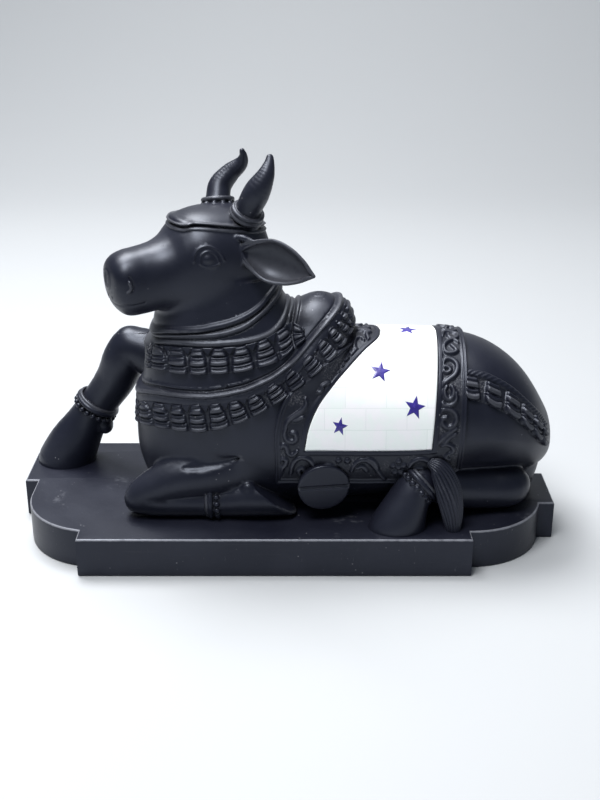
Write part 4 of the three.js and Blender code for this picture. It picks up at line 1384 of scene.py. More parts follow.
def rounded(value: Array, half: float, edge: float) -> Array:
    """Return 1 within half of the middle, falling to 0 over the edge."""
    return ramp(half - np.abs(value), 0, edge)


def lens(value: Array) -> Array:
    """Return the height of a round back over -1 to 1."""
    return np.sqrt(np.clip(1 - value * value, 0, 1))


def rolls(w: Array) -> Array:
    """Return the height of a block from its top to its foot: a thin roll over a full one."""
    return np.maximum(0.66 * lens((w - 0.24) / 0.2), lens((w - 0.7) / 0.3)) * 0.92 + 0.04


@dataclass
class Garland:
    """A garland of clusters round the neck, each of three blocks of rolls one above the other."""

    name: str
    top: Rows
    foot: Rows
    centres: Rows
    closed: bool
    halves: Rows
    seed: int
    lift: float = 3.0
    columns: int = 22
    rows: int = 52
    chest_share: float = 0.45

    @staticmethod
    def ends(body: Sculpture, line: Table) -> Pair:
        """Return the x at which a line leaves the body at the chest and at the back.

        Args:
            body: the body.
            line: height of the line for each x.

        Returns:
            Both places, the chest first.
        """
        found = []
        for reach in (-146.0, 146.0):
            inside, outside = -32.0, -32.0 + reach
            for _ in range(26):
                x = (inside + outside) / 2
                point = np.array([[x, 0, float(line(np.array([x]))[0][0])]])
                inside, outside = (x, outside) if body.distance(point)[0] < 0 else (inside, x)
            found.append(inside)
        return found[0], found[1]

    def sheet(self, body: Sculpture) -> Sheet:
        """Lay the near half of the garland on the body.

        Args:
            body: what it lies on.

        Returns:
            The near half with its relief.
        """
        first, last = self.centres[0][0], self.centres[-1][0]
        place = np.linspace(first, last, int((last - first) * self.columns) + 1)
        share = np.linspace(-0.05, 1.05, self.rows)
        along = read(self.centres, place)
        middle = Table(halfway(self.top, self.foot, 0.5))
        slope = (middle(along + 1.5)[0] - middle(along - 1.5)[0]) / 3
        tall = read(self.top, along) - read(self.foot, along)
        lean = tall * slope / (1 + slope * slope) * ramp(place, first + 1, first + 3)
        if self.closed:
            lean = lean * ramp(last - place, 0.3, 2)
        points = np.zeros((self.rows, len(place), 3))
        for i, part in enumerate(share):
            line = Table(halfway(self.top, self.foot, part))
            front, back = self.ends(body, line)
            x = along + (front - along[0]) * ramp(first + 3 - place, 0, 3) + lean * (part - 0.5)
            if self.closed:
                x = x + (back - along[-1]) * ramp(place - last + 2.5, 0, 2.5)
            h = line(x)[0]
            start = np.stack([x, np.zeros_like(x), h], 1)
            points[i] = beside(body, start)
        out = body.normals(points.reshape(-1, 3)).reshape(points.shape)
        out[:, 0] *= (1, 0, 1)
        if self.closed:
            out[:, -1] *= (1, 0, 1)
        height = self.relief(place, share)
        if self.closed:
            low = self.chest_share
            height *= low + (1 - low) * ramp(place, first, first + 1.6)
        else:
            height *= ramp(place, -0.3, 1.1)
            height[:, -1] = SUNK
        return Sheet(points, out, height)

    def relief(self, place: Array, share: Array) -> Array:
        """Return the height of the carving, for each place along and share down.

        Args:
            place: cluster numbers along the garland.
            share: shares of the way down.

        Returns:
            Heights in parts, a row for each share.
        """
        count = int(self.centres[-1][0]) + 3
        uneven = np.random.default_rng(self.seed).uniform(-1, 1, (count, 3, 3))
        index = np.clip(np.floor(place).astype(int) + 1, 0, count - 1)
        u = (place - np.floor(place))[None, :] - 0.5
        v = np.clip(share, 0, 0.9999)[:, None]
        edges = np.array((0.0, 0.38, 0.69, 1.0))
        row = np.searchsorted(edges, v, side="right") - 1
        w = (v - edges[row]) / (edges[row + 1] - edges[row])
        odd = uneven[index[None, :], row]
        full = read(self.halves, place)[None, :]
        half = full * np.choose(row, [0.5 + 0.36 * w, 0.93 + 0 * w, 1.0 + 0 * w]) + 0.015 * odd[..., 0]
        across = (u + 0.02 * odd[..., 1]) / half
        inside = rounded(across, 1.0, 0.2)
        sag = np.clip(w + 0.1 * across**2 * np.where(row == 0, 0, 1), 0, 1)
        block = inside * (0.2 + rolls(sag) * (1 - 0.35 * across**2)) * (1 + 0.08 * odd[..., 2])
        tip = 0.33 - v - 1.25 * np.abs(np.abs(u) - 0.5)
        flap = 0.42 * ramp(tip, -0.02, 0.03) + 0.22 * (1 - ramp(np.abs(tip - 0.03), 0, 0.04))
        height = self.lift * np.maximum(block, flap * (tip > -0.03) + 0.03)
        return np.where(((share < 0) | (share > 1))[:, None], SUNK, height)

    def build(self, maker: MeshMaker, body: Sculpture) -> bpy.types.Object:
        """Make both halves of the garland.

        Args:
            maker: makes the mesh.
            body: what it lies on.

        Returns:
            The garland.
        """
        near = self.sheet(body)
        high = np.clip(near.height.ravel() / self.lift, 0, 1.1)
        return maker.mirrored(self.name, near, high, (0.78, 1.08), (0.5, 0.4))


GIRTH_PART = 0.925


@dataclass(frozen=True)
class Panel:
    """A panel on the back, its edges given as x for each angle from the spine in degrees."""

    girth: float
    front: Rows
    back: Rows

    def spread(self, girth: Array, share: Array) -> tuple[Array, Array]:
        """Lay a grid over the panel.

        Args:
            girth: angles from the spine.
            share: shares of the way from the front to the back edge.

        Returns:
            x and angle of the grid's points.
        """
        front, back = read(self.front, np.abs(girth)), read(self.back, np.abs(girth))
        x = front[:, None] + (back - front)[:, None] * share[None, :]
        return x, np.broadcast_to(girth[:, None], x.shape)

    def inset(self, x: Array, girth: Array) -> Array:
        """Measure how far places lie within the panel.

        Args:
            x: place along the back.
            girth: angle from the spine.

        Returns:
            Distance in from the edge, in parts.
        """
        around = np.abs(girth)
        slope = (read(self.front, around + 2) - read(self.front, around - 2)) / (4 * GIRTH_PART)
        inside = (x - read(self.front, around)) / np.sqrt(1 + slope**2)
        inside = np.minimum(inside, read(self.back, around) - x)
        return np.minimum(inside, (self.girth - around) * GIRTH_PART)


CLOTH = Panel(
    121.0,
    ((0, 41), (25, 27), (38, 16), (52, 4), (65, -3), (80, -6), (95, -6), (121, -6)),
    ((0, 122.5), (60, 121), (121, 119)),
)
INLAY = Panel(
    92.0,
    ((0, 66), (12, 63.5), (25, 54), (38, 44), (52, 32.5), (65, 23), (78, 17), (92, 14)),
    ((0, 103.5), (50, 101), (92, 98)),
)


def on_barrel(body: Sculpture, x: Array, girth: Array, height: Array) -> Sheet:
    """Return a grid laid on the barrel with its relief."""
    points, out = settle(body, barrel_skin(x.ravel(), girth.ravel()))
    return Sheet(points.reshape(*x.shape, 3), out.reshape(*x.shape, 3), height)


@dataclass
class SaddleCloth:
    """The cloth on the back, with rims and a border of scrolls round the inlay."""

    length: float = 126.0
    thickness: float = 1.8
    rim: float = 1.3
    lip: float = 0.7
    under: float = 0.6
    hem: float = -1.2
    scroll: float = 1.8
    scroll_radius: float = 1.8
    spacing: float = 0.6
    scrolls: Sequence[Rows] = (
        ((106.7, 8), (108.3, 2.5), (112.3, 1), (116.6, 2.4), (117.3, 6.4), (114.3, 10.7), (111.3, 9),
         (111, 5)),
        ((116.7, 14.6), (113.7, 12), (109, 15.3), (106.3, 21), (107.7, 25.7), (111.7, 26.6), (115, 23.7),
         (112, 19)),
        ((105.4, 41.3), (107.4, 42.7), (110, 41), (108.7, 38.6), (105.7, 38.3), (103.7, 40.7), (104.3, 35.7),
         (108, 31.7), (112.7, 33), (114.7, 37.7), (113, 43.7), (108.6, 47.7), (104, 51.3), (101.7, 56),
         (102.3, 61.3), (106, 64.7), (110.7, 64.4), (113.3, 61.3), (113.3, 56.7)),
        ((107.3, 52.3), (105.7, 55.3), (106.3, 59), (108.7, 61), (111, 59.3), (111.7, 55.3), (110.6, 52.7)),
        ((102, 70.3), (103.7, 67.7), (108.3, 67.3), (112.3, 70), (113.6, 74.3), (111.7, 78), (108, 78.7),
         (105, 76.7), (104.4, 73.4), (107, 72.4)),
        ((113.7, 80), (108.4, 82.7), (103.7, 86.3), (100.7, 89)),
        ((113.3, 83.6), (109.3, 85.3), (106.3, 88)),
        ((104.6, 89.6), (108, 89.3), (111.3, 92.6), (112, 98.3), (109.3, 98.7), (107.3, 101.3),
         (109.7, 104)),
        ((47.7, 3), (49.7, 1.2), (53.6, 1), (57.3, 2), (57.7, 4.7), (54.4, 4)),
        ((53.6, 15), (52, 12), (49, 12.6), (47, 16.7), (47, 23), (50, 26.7), (53.7, 26.3), (56.6, 22),
         (57, 15), (56, 8), (57.3, 3.7)),
        ((37.7, 36), (39.3, 38.3), (42.7, 37.7), (45.6, 34.3), (45.7, 30), (43.3, 27), (40, 26.7),
         (38.3, 29.6), (39.7, 32.7), (42.3, 31.3)),
        ((35.7, 42), (40, 41.7), (45, 39), (47.4, 34.3), (47.3, 29), (45.7, 24.3)),
        ((24.7, 53.3), (24, 50.3), (26.7, 48.7), (29.3, 50.3), (28.6, 52.7)),
        ((22.3, 55), (25.6, 55), (31, 51.3), (36.7, 46.7)),
        ((14.3, 59.4), (15, 63.3), (12.3, 67.3), (7.7, 70.3), (3, 73.3), (1.3, 77)),
        ((6.7, 73), (10, 72.3), (12.7, 71.3)),
        ((2, 76.7), (0.7, 81), (2.3, 85), (6.3, 86), (8.4, 84.3), (7.7, 81.3), (5.3, 80.7)),
        ((-1.7, 89.7), (-0.3, 88), (2, 89.3), (3, 93.7), (6, 95.3), (9, 92.4)),
        ((-2.3, 100), (-1, 98), (1.7, 99.4), (1, 103.3), (-1.2, 106.3), (-2.6, 112.7)),
        ((4.6, 111.3), (5.7, 104), (8.4, 99), (12.7, 97.3), (17, 99.3), (20, 104), (22, 108)),
        ((14.3, 108.7), (12.3, 106), (10, 108), (11, 112)),
        ((45.3, 108.3), (47, 103), (51.3, 99.3), (56, 99.7), (60.4, 104.3), (64.7, 111.7), (67.7, 116)),
        ((48.7, 105.7), (52.3, 104.3), (55.3, 107.7)),
        ((56, 97.7), (60, 100.7), (62.4, 105.7)),
        ((83.6, 105), (85.7, 101.3), (90.3, 99), (95, 100.7), (99.3, 105.3)),
        ((86, 112), (88, 107.5), (92, 107), (93, 111), (90, 113)),
        ((24, 112), (27, 105), (32, 104), (34, 109), (31, 112), (29, 109)),
    )
    flowers: Rows = (
        (36.5, 99.5), (42.4, 99.8), (73, 104), (76.5, 100.5), (80, 104), (78.5, 109.5), (74.5, 109.5),
        (76.6, 105.4),
    )

    def strokes(self, x: Array, girth: Array) -> Array:
        """Return the height of the scrolls at each place on the cloth.

        Args:
            x: place along the back.
            girth: angle from the spine.

        Returns:
            Heights in parts.
        """
        flat = np.stack([x, np.abs(girth) * GIRTH_PART], -1).reshape(-1, 2)
        best = np.full(len(flat), 9.0)
        for rows in self.scrolls:
            track = Limb([(a, b * GIRTH_PART, 0, 0) for a, b in rows], 5).track[:, :2]
            near = np.flatnonzero(np.all((flat > track.min(0) - 2) & (flat < track.max(0) + 2), axis=1))
            for i, (start, end) in enumerate(zip(track[:-1], track[1:])):
                axis = end - start
                offset = flat[near] - start
                t = np.clip(offset @ axis / max(float(axis @ axis), 1e-9), 0, 1)
                gap = np.linalg.norm(offset - t[:, None] * axis, axis=1)
                thin = 1 + 0.5 * abs(2 * i / len(track) - 1) ** 3
                best[near] = np.minimum(best[near], gap * thin)
        for a, b in self.flowers:
            gap = np.linalg.norm(flat - (a, b * GIRTH_PART), axis=1)
            best = np.minimum(best, gap * 0.8)
        return self.scroll * lens(np.clip(best / self.scroll_radius, 0, 1)).reshape(x.shape)

    def build(self, maker: MeshMaker, body: Sculpture) -> bpy.types.Object:
        """Make the cloth, open where the inlay covers it.

        Args:
            maker: makes the mesh.
            body: what it lies on.

        Returns:
            The cloth.
        """
        around_count = int(2 * CLOTH.girth * GIRTH_PART / self.spacing)
        girth = np.linspace(-CLOTH.girth, CLOTH.girth, around_count)
        x, around = CLOTH.spread(girth, np.linspace(0, 1, int(self.length / self.spacing)))
        edge, outside = CLOTH.inset(x, around), -INLAY.inset(x, around)
        rims = lens(np.clip((edge - 1.1) / 1.1, -1, 1)) + 0.6 * lens(np.clip((edge - 3.1) / 0.7, -1, 1))
        lip = self.lip * rounded(outside - 2.0, 1.7, 0.6)
        free = ramp(edge, 3.6, 4.6) * ramp(outside, 3.4, 4.2)
        sheet = on_barrel(body, x, around, 0 * x)
        clear = ramp(-off_line(LOWER_FOOT)(sheet.points.reshape(-1, 3)), -2.5, 0.5).reshape(x.shape)
        height = self.thickness + self.rim * rims + lip + self.strokes(x, around) * free
        height = height * clear - self.under * (1 - clear)
        height = np.where(outside < 0.2, self.under, height)
        height[[0, -1]] = height[:, [0, -1]] = self.hem
        sheet.height = height
        faces = maker.grid_faces(*x.shape)
        faces = faces[np.max(outside.ravel()[faces], axis=1) > -1.2]
        piece = maker.solid("saddle_cloth", sheet.placed(), [faces[:, ::-1]])
        raised = (height.ravel() - self.thickness) / self.scroll
        # The tops of the scrolls are lightened, for wear and as a painted highlight; the flat ground between
        # them gets painted shade and dust.
        paint(piece, "wear_and_highlight", ramp(raised, 0.7, 1.1))
        paint(piece, "cavity", ramp(0.12 - raised, 0, 0.1) * ramp(edge.ravel(), 3, 4))
        return piece


@dataclass
class PearlField:
    """The pale inlay of small tiles in the middle of the cloth."""

    lift: float = 2.3
    bevel: float = 0.25
    foot: float = 0.4
    around: int = 230
    along: int = 100

    def build(self, maker: MeshMaker, body: Sculpture) -> bpy.types.Object:
        """Make the inlay with a slightly rounded edge.

        Args:
            maker: makes the mesh.
            body: what it lies on.

        Returns:
            The inlay.
        """
        reach = INLAY.girth
        girth = np.concatenate([[-reach], np.linspace(-reach, reach, self.around), [reach]])
        share = np.concatenate([[0], np.linspace(0, 1, self.along), [1]])
        x, around = INLAY.spread(girth, share)
        height = np.full(x.shape, self.lift)
        height[[1, -2]] = height[:, [1, -2]] = self.lift - self.bevel
        height[[0, -1]] = height[:, [0, -1]] = self.foot
        sheet = on_barrel(body, x, around, height)
        piece = maker.solid("pearl_inlay", sheet.placed(), [maker.grid_faces(*x.shape)[:, ::-1]])
        flat = np.stack([x, around * GIRTH_PART, 0 * x], -1).reshape(-1, 3)
        layer = piece.data.attributes.new("tile_place", "FLOAT_VECTOR", "POINT")
        layer.data.foreach_set("vector", flat.astype(np.float32).ravel())
        return piece


@dataclass
class BlueStars:
    """Small five-pointed stars let into the inlay."""

    places: Rows = (
        (37, 77, 5.4), (86, 65.5, 7.2), (63.5, 42, 7.2), (84, 0, 7.2), (37, -77, 5.4), (86, -65.5, 7.2),
        (63.5, -42, 7.2),
    )
    waist: float = 0.42
    turn: float = 0.2
    foot: float = 0.9
    lift: float = 2.42
    bevel: float = 0.28
    steps: int = 4

    def build(self, maker: MeshMaker, body: Sculpture, number: int) -> bpy.types.Object:
        """Make one star.

        Args:
            maker: makes the mesh.
            body: what the star lies on.
            number: which star, from 0.

        Returns:
            The star.
        """
        x, girth, radius = self.places[number]
        side = -1.0 if girth < 0 else 1.0
        corner = np.arange(10)
        reach = np.where(corner % 2 == 0, radius, radius * self.waist)
        turn = TURN * corner / 10 + self.turn
        corners = reach[:, None] * np.stack([np.sin(turn), np.cos(turn)], 1)
        steps = np.linspace(0, 1, self.steps + 1)[:-1]
        sides = zip(corners, np.roll(corners, -1, axis=0))
        outline = np.asarray([a + (b - a) * t for a, b in sides for t in steps])
        profile = (
            (1.0, self.foot), (1.0, self.lift - 0.12), (1 - self.bevel / radius, self.lift),
            (0.66, self.lift + 0.05), (0.33, self.lift + 0.08), (0.02, self.lift + 0.1),
        )
        rings = [outline * size for size, _ in profile]
        heights = [np.full(len(outline), lift) for _, lift in profile]
        flat = np.concatenate(rings)
        around = side * (abs(girth) - flat[:, 1] / GIRTH_PART)
        points, out = settle(body, barrel_skin(x + flat[:, 0], around))
        placed = points + out * np.concatenate(heights)[:, None]
        faces = maker.grid_faces(len(rings), len(outline), around=True)
        piece = maker.solid(f"inlaid_star_{number + 1}", placed, [faces if side < 0 else faces[:, ::-1]])
        paint(piece, "rim", np.repeat([1.0, 1.0, 0.0, 0.0, 0.0, 0.0], len(outline)))
        return piece


@dataclass
class Crupper:
    """The garland over the rump: a twisted strap with clusters hanging under it."""

    line: Rows = (
        (118, 106.5, 89), (126, 105, 88), (135, 102.5, 85), (150, 94, 76.5), (163, 82, 64), (172, 72, 53),
        (178, 63, 45),
    )
    centres: Rows = (
        (0, 117.5), (0.5, 123.5), (1.5, 137.5), (2.5, 150.5), (3.5, 161), (4.5, 169.5), (5.5, 175),
        (6, 178),
    )
    clusters: int = 6
    lift: float = 3.8
    rows: int = 52
    columns: int = 24

    def build(self, maker: MeshMaker, body: Sculpture) -> bpy.types.Object:
        """Make the garland on both sides of the rump.

        Args:
            maker: makes the mesh.
            body: what it lies on.

        Returns:
            The garland.
        """
        place = np.linspace(0, self.clusters, self.clusters * self.columns + 1)
        share = np.linspace(0, 1, self.rows)
        x = np.broadcast_to(read(self.centres, place)[None, :], (self.rows, len(place)))
        top, foot = Table(self.line)(x)
        h = top + (foot - top) * share[:, None]
        points, out = settle(body, beside(body, np.stack([x, 0 * x, h], -1).reshape(-1, 3)))
        height = self.relief(place, share)
        near = Sheet(points.reshape(*x.shape, 3), out.reshape(*x.shape, 3), height)
        high = np.clip(height.ravel() / self.lift, 0, 1.1)
        return maker.mirrored("rump_garland", near, high, (0.8, 1.05), (0.4, 0.3))

    def relief(self, place: Array, share: Array) -> Array:
        """Return the height of the strap and the clusters.

        Args:
            place: cluster numbers along the garland.
            share: shares of the way down.

        Returns:
            Heights in parts, a row for each share.
        """
        u = (place - np.floor(place))[None, :] - 0.5
        v = share[:, None]
        strap = 0.6 * lens(np.clip((v - 0.14) / 0.12, -1, 1))
        twist = 0.04 * np.cos(TURN * (v * 9 + place[None, :] * 4)) * (v < 0.26)
        edges = np.array((0.27, 0.62, 1.0))
        row = np.clip(np.searchsorted(edges, np.clip(v, 0.27, 0.9999), side="right") - 1, 0, 1)
        w = np.clip((v - edges[row]) / (edges[row + 1] - edges[row]), 0, 1)
        half = np.where(row == 0, 0.34 + 0.06 * w, 0.43)
        sag = np.clip(w + np.where(row == 0, 0.06, 0.3) * (u / half) ** 2, 0, 1.2)
        block = rounded(u / half, 1.0, 0.3) * (0.25 + rolls(sag)) * ramp(1.08 - sag, 0, 0.12)
        height = np.where(v < 0.27, strap + twist, np.maximum(block, 0.08)) * self.lift
        ends = (place < 0.02) | (place > self.clusters - 0.02)
        return np.where((v < 0.02) | (v > 0.985) | ends[None, :], SUNK, height)


@dataclass
class Tassel:
    """The tassel of twisted strands that hangs over the hock."""

    spine: Rows = (
        (97, -53, 47, 3, 3), (104, -56, 42, 7, 5), (109, -58.5, 30, 8.8, 5.5), (112.5, -61, 15, 7.8, 5),
        (114, -63, -1, 5, 4),
    )
    strands: int = 19
    twist: float = 2.2
    fray: float = 1.6
    seed: int = 12
    around: int = 190
    along: int = 70

    def build(self, maker: MeshMaker) -> bpy.types.Object:
        """Make the tassel as one closed skin with a groove between strands.

        Args:
            maker: makes the mesh.

        Returns:
            The tassel.
        """
        rows = np.asarray(self.spine, float)
        t = np.linspace(0, len(rows) - 1, self.along)
        table = Table(np.column_stack([np.arange(len(rows)), rows]))
        x, y, h, wide, tall = table(t)
        middle = np.stack([x, y, h], 1)
        tangent = unit(np.gradient(middle, axis=0))
        side = unit(np.cross(np.array((0.0, -1.0, 0.0)), tangent))
        front = np.cross(tangent, side)
        turn = TURN * np.arange(self.around) / self.around
        rng = np.random.default_rng(self.seed)
        down = (t / t[-1])[:, None]
        phase = (turn[None, :] / TURN * self.strands + self.twist * down) % self.strands
        strand = np.floor(phase).astype(int) % self.strands
        uneven = rng.uniform(-1, 1, (3, self.strands))
        dip = np.abs(2 * (phase - np.floor(phase)) - 1) ** 4
        deep, shift, thick = (row[strand] for row in uneven)
        wave = np.sin(phase * 2.1 + 9 * down + shift * 3)
        groove = 1 - 0.2 * dip * (1 + 0.5 * deep) + 0.045 * thick + 0.025 * wave
        ring = side[:, None, :] * (wide[:, None] * np.cos(turn) * groove)[..., None]
        ring = ring + front[:, None, :] * (tall[:, None] * np.sin(turn) * groove)[..., None]
        ring[-6:, :, 2] += (np.arange(6)[:, None] / 5) ** 2 * self.fray * deep[-6:]
        points = (middle[:, None, :] + ring).reshape(-1, 3)
        faces = maker.grid_faces(self.along, self.around, around=True)
        cap = np.arange(self.around)[None, :]
        piece = maker.solid("tassel", points, [faces, cap[:, ::-1]])
        # The crests of the strands are lightened, for wear and as a painted highlight; the grooves get
        # painted shade and dust.
        paint(piece, "wear_and_highlight", ramp(groove.ravel(), 0.99, 1.06) * 0.7)
        paint(piece, "cavity", ramp(0.96 - groove.ravel(), 0, 0.14))
        return piece


@dataclass
class Plinth:
    """The stepped plinth: two round lobes at each end between straight slabs."""

    length: float = PLINTH_PARTS
    depth: float = 152.5
    height: float = DECK
    edge: float = 1.3
    lobe_radius: float = 54.0
    lobe_inset: float = 10.7
    end_step: float = 9.2
    front_slab: Pair = (-138.5, 125.8)
    back_slab: Pair = (-152.0, 138.5)
    right_slab: Pair = (-23.5, 23.5)
    left_slab: Pair = (11.5, 59.0)
    small_radius: float = 29.0
    arc_step: float = 2.2
    side_step: float = 3.0

    def outline(self) -> Array:
        """Return the plan of the plinth, counter-clockwise, with a point every few parts.

        Returns:
            Rows of x and y.
        """
        half_x, half_y, r, s = self.length / 2, self.depth / 2, self.lobe_radius, self.small_radius
        lobe_x, lobe_y = half_x - self.end_step - r, self.lobe_inset
        small_x, small_y = -lobe_x - r + s, half_y - self.end_step - s

        def arc(middle: Pair, radius: float, start: float, end: float) -> list[Pair]:
            """Return points on an arc."""
            turns = np.linspace(start, end, max(int(abs(end - start) * radius / self.arc_step), 8))
            return [(middle[0] + radius * math.cos(a), middle[1] + radius * math.sin(a)) for a in turns]

        corners = [(self.front_slab[0], -half_y), (self.front_slab[1], -half_y)]
        start = -math.acos((self.front_slab[1] - lobe_x) / r)
        corners += arc((lobe_x, -lobe_y), r, start, math.asin((self.right_slab[0] + lobe_y) / r))
        corners += [(half_x, self.right_slab[0]), (half_x, self.right_slab[1])]
        start = math.asin((self.right_slab[1] - lobe_y) / r)
        corners += arc((lobe_x, lobe_y), r, start, math.acos((self.back_slab[1] - lobe_x) / r))
        corners += [(self.back_slab[1], half_y), (self.back_slab[0], half_y)]
        near, far = self.left_slab
        corners += arc((small_x, small_y), s, math.pi / 2, math.pi - math.asin((far - small_y) / s))
        corners += [(-half_x, far), (-half_x, near), (-lobe_x - r, near)]
        corners += arc((-lobe_x, -lobe_y), r, math.pi, TURN - math.acos((self.front_slab[0] + lobe_x) / r))
        return self.even(np.asarray(corners))

    def even(self, corners: Array) -> Array:
        """Return the outline with its long sides divided.

        Args:
            corners: rows of x and y.

        Returns:
            The same outline with more points.
        """
        points = []
        for a, b in zip(corners, np.roll(corners, -1, axis=0)):
            count = max(int(np.linalg.norm(b - a) / self.side_step), 1)
            if np.linalg.norm(b - a) > 1e-6:
                points += [a + (b - a) * i / count for i in range(count)]
        return np.asarray(points)

    def build(self, maker: MeshMaker) -> bpy.types.Object:
        """Make the plinth with rounded upper and lower edges.

        Args:
            maker: makes the mesh.

        Returns:
            The plinth.
        """
        outline = self.outline()
        ahead = unit(np.roll(outline, -1, axis=0) - outline)
        behind = np.roll(ahead, 1, axis=0)
        tangent = unit(ahead + behind)
        stretch = 1 / np.maximum(np.einsum("ij,ij->i", tangent, ahead), 0.5)
        inward = np.stack([-tangent[:, 1], tangent[:, 0]], 1) * stretch[:, None]
        turns = np.linspace(0, math.pi / 2, 6)
        edge, top = self.edge, self.height
        profile = [(edge * (1 - math.sin(a)), edge * (1 - math.cos(a))) for a in turns]
        profile += [(0, z) for z in np.linspace(edge, top - edge, 14)[1:-1]]
        profile += [(edge * (1 - math.cos(a)), top - edge * (1 - math.sin(a))) for a in turns]
        count = len(outline)
        rings = [
            np.column_stack([outline + inward * inset, np.full(count, z - DECK)]) for inset, z in profile
        ]
        faces = maker.grid_faces(len(rings), count, around=True)
        cap = np.arange(count)[None, :]
        caps = [cap[:, ::-1], cap + count * (len(rings) - 1)]
        piece = maker.solid("plinth_block", np.concatenate(rings), [faces, *caps])
        flat = np.zeros(len(piece.data.polygons), bool)
        flat[:-2] = True
        piece.data.polygons.foreach_set("use_smooth", flat)
        piece.data.set_sharp_from_angle(angle=math.radians(40))
        # A band along the rounded top edge is lightened: partly wear, partly a painted highlight of the
        # edge.
        near_top = [ramp(-abs(z - top + 0.5), -1.4, -0.2) for _, z in profile]
        near_top[-1] = 0.0
        paint(piece, "wear_and_highlight", np.repeat(near_top, count))
        paint(piece, "cavity", np.zeros(count * len(rings)))
        return piece


# Finishes


class Socket:
    """An output of a node, with sums written as plain expressions."""

    def __init__(self, tree: bpy.types.NodeTree, output: bpy.types.NodeSocket) -> None:
        """Keep the output and its tree."""
        self.tree, self.output = tree, output

    def join(self, operation: str, *values: "Socket | float", clamp: bool = False) -> "Socket":
        """Add a Math node.

        Args:
            operation: what it does.
            values: sockets or numbers, in order.
            clamp: whether the result is kept from 0 to 1.

        Returns:
            Its result.
        """
        node = self.tree.nodes.new("ShaderNodeMath")
        node.operation, node.use_clamp = operation, clamp
        for slot, value in zip(node.inputs, values):
            if isinstance(value, Socket):
                self.tree.links.new(value.output, slot)
            else:
                slot.default_value = value
        return Socket(self.tree, node.outputs[0])

    def __add__(self, other: "Socket | float") -> "Socket":
        """Return the sum."""
        return self.join("ADD", self, other)

    def __sub__(self, other: "Socket | float") -> "Socket":
        """Return the difference."""
        return self.join("SUBTRACT", self, other)

    def __rsub__(self, other: float) -> "Socket":
        """Return the difference, the number first."""
        return self.join("SUBTRACT", other, self)

    def __mul__(self, other: "Socket | float") -> "Socket":
        """Return the product."""
        return self.join("MULTIPLY", self, other)

    __radd__ = __add__
    __rmul__ = __mul__

    def clamp(self) -> "Socket":
        """Return the value kept from 0 to 1."""
        return self.join("ADD", self, 0.0, clamp=True)

    def ramp(self, low: float, high: float) -> "Socket":
        """Return a smooth step from 0 at low to 1 at high.

        Args:
            low: where the step starts.
            high: where it is done.

        Returns:
            The step.
        """
        node = self.tree.nodes.new("ShaderNodeMapRange")
        node.interpolation_type = "SMOOTHSTEP"
        self.tree.links.new(self.output, node.inputs[0])
        node.inputs[1].default_value, node.inputs[2].default_value = low, high
        return Socket(self.tree, node.outputs[0])


class Finish:
    """A material under construction."""

    def __init__(self, name: str) -> None:
        """Start a material with one shader.

        Args:
            name: name of the material.
        """
        self.material = bpy.data.materials.new(name)
        self.material.use_nodes = True
        self.tree = self.material.node_tree
        self.shader = next(node for node in self.tree.nodes if node.type == "BSDF_PRINCIPLED")

    def node(
        self, kind: str, settings: dict | None = None, inputs: dict | None = None, output: str | int = 0
    ) -> Socket:
        """Add a node.

        Args:
            kind: type of the node.
            settings: its own settings, made first.
            inputs: sockets by name or number, with a value or a link.
            output: which output is wanted.

        Returns:
            That output.
        """
        made = self.tree.nodes.new(kind)
        for key, value in (settings or {}).items():
            setattr(made, key, value)
        for key, value in (inputs or {}).items():
            if isinstance(value, Socket):
                self.tree.links.new(value.output, made.inputs[key])
            else:
                made.inputs[key].default_value = value
        return Socket(self.tree, made.outputs[output])

    def attribute(self, name: str, output: str = "Fac") -> Socket:
        """Return a value stored at the points of the piece."""
        return self.node("ShaderNodeAttribute", {"attribute_name": name}, output=output)

    def place(self) -> Socket:
        """Return the place on the object."""
        return self.node("ShaderNodeTexCoord", output="Object")

    def noise(self, where: Socket, scale: float, detail: float = 3.0, rough: float = 0.55) -> Socket:
        """Return a noise from 0 to 1."""
        inputs = {"Vector": where, "Scale": scale, "Detail": detail, "Roughness": rough}
        return self.node("ShaderNodeTexNoise", {}, inputs)

    def stretched(self, where: Socket, scale: Point) -> Socket:
        """Return the place, stretched along its axes."""
        return self.node("ShaderNodeMapping", {}, {"Vector": where, "Scale": scale})

    def blend(self, share: Socket | float, first: Socket | Colour, second: Socket | Colour) -> Socket:
        """Return a colour between two colours."""
        return self.node("ShaderNodeMix", {"data_type": "RGBA"}, {0: share, 6: first, 7: second}, 2)

    def bump(self, height: Socket, distance: float, strength: float = 1.0) -> None:
        """Feed a height, which reaches over the distance in metres, to the shader's normal."""
        inputs = {"Height": height, "Distance": distance, "Strength": strength}
        made = self.node("ShaderNodeBump", {}, inputs)
        self.tree.links.new(made.output, self.shader.inputs["Normal"])

    def feed(self, **sockets: Socket | float | Colour) -> None:
        """Set or link the shader's own sockets, named with _ for a space."""
        for key, value in sockets.items():
            slot = self.shader.inputs[key.replace("_", " ")]
            if isinstance(value, Socket):
                self.tree.links.new(value.output, slot)
            else:
                slot.default_value = value


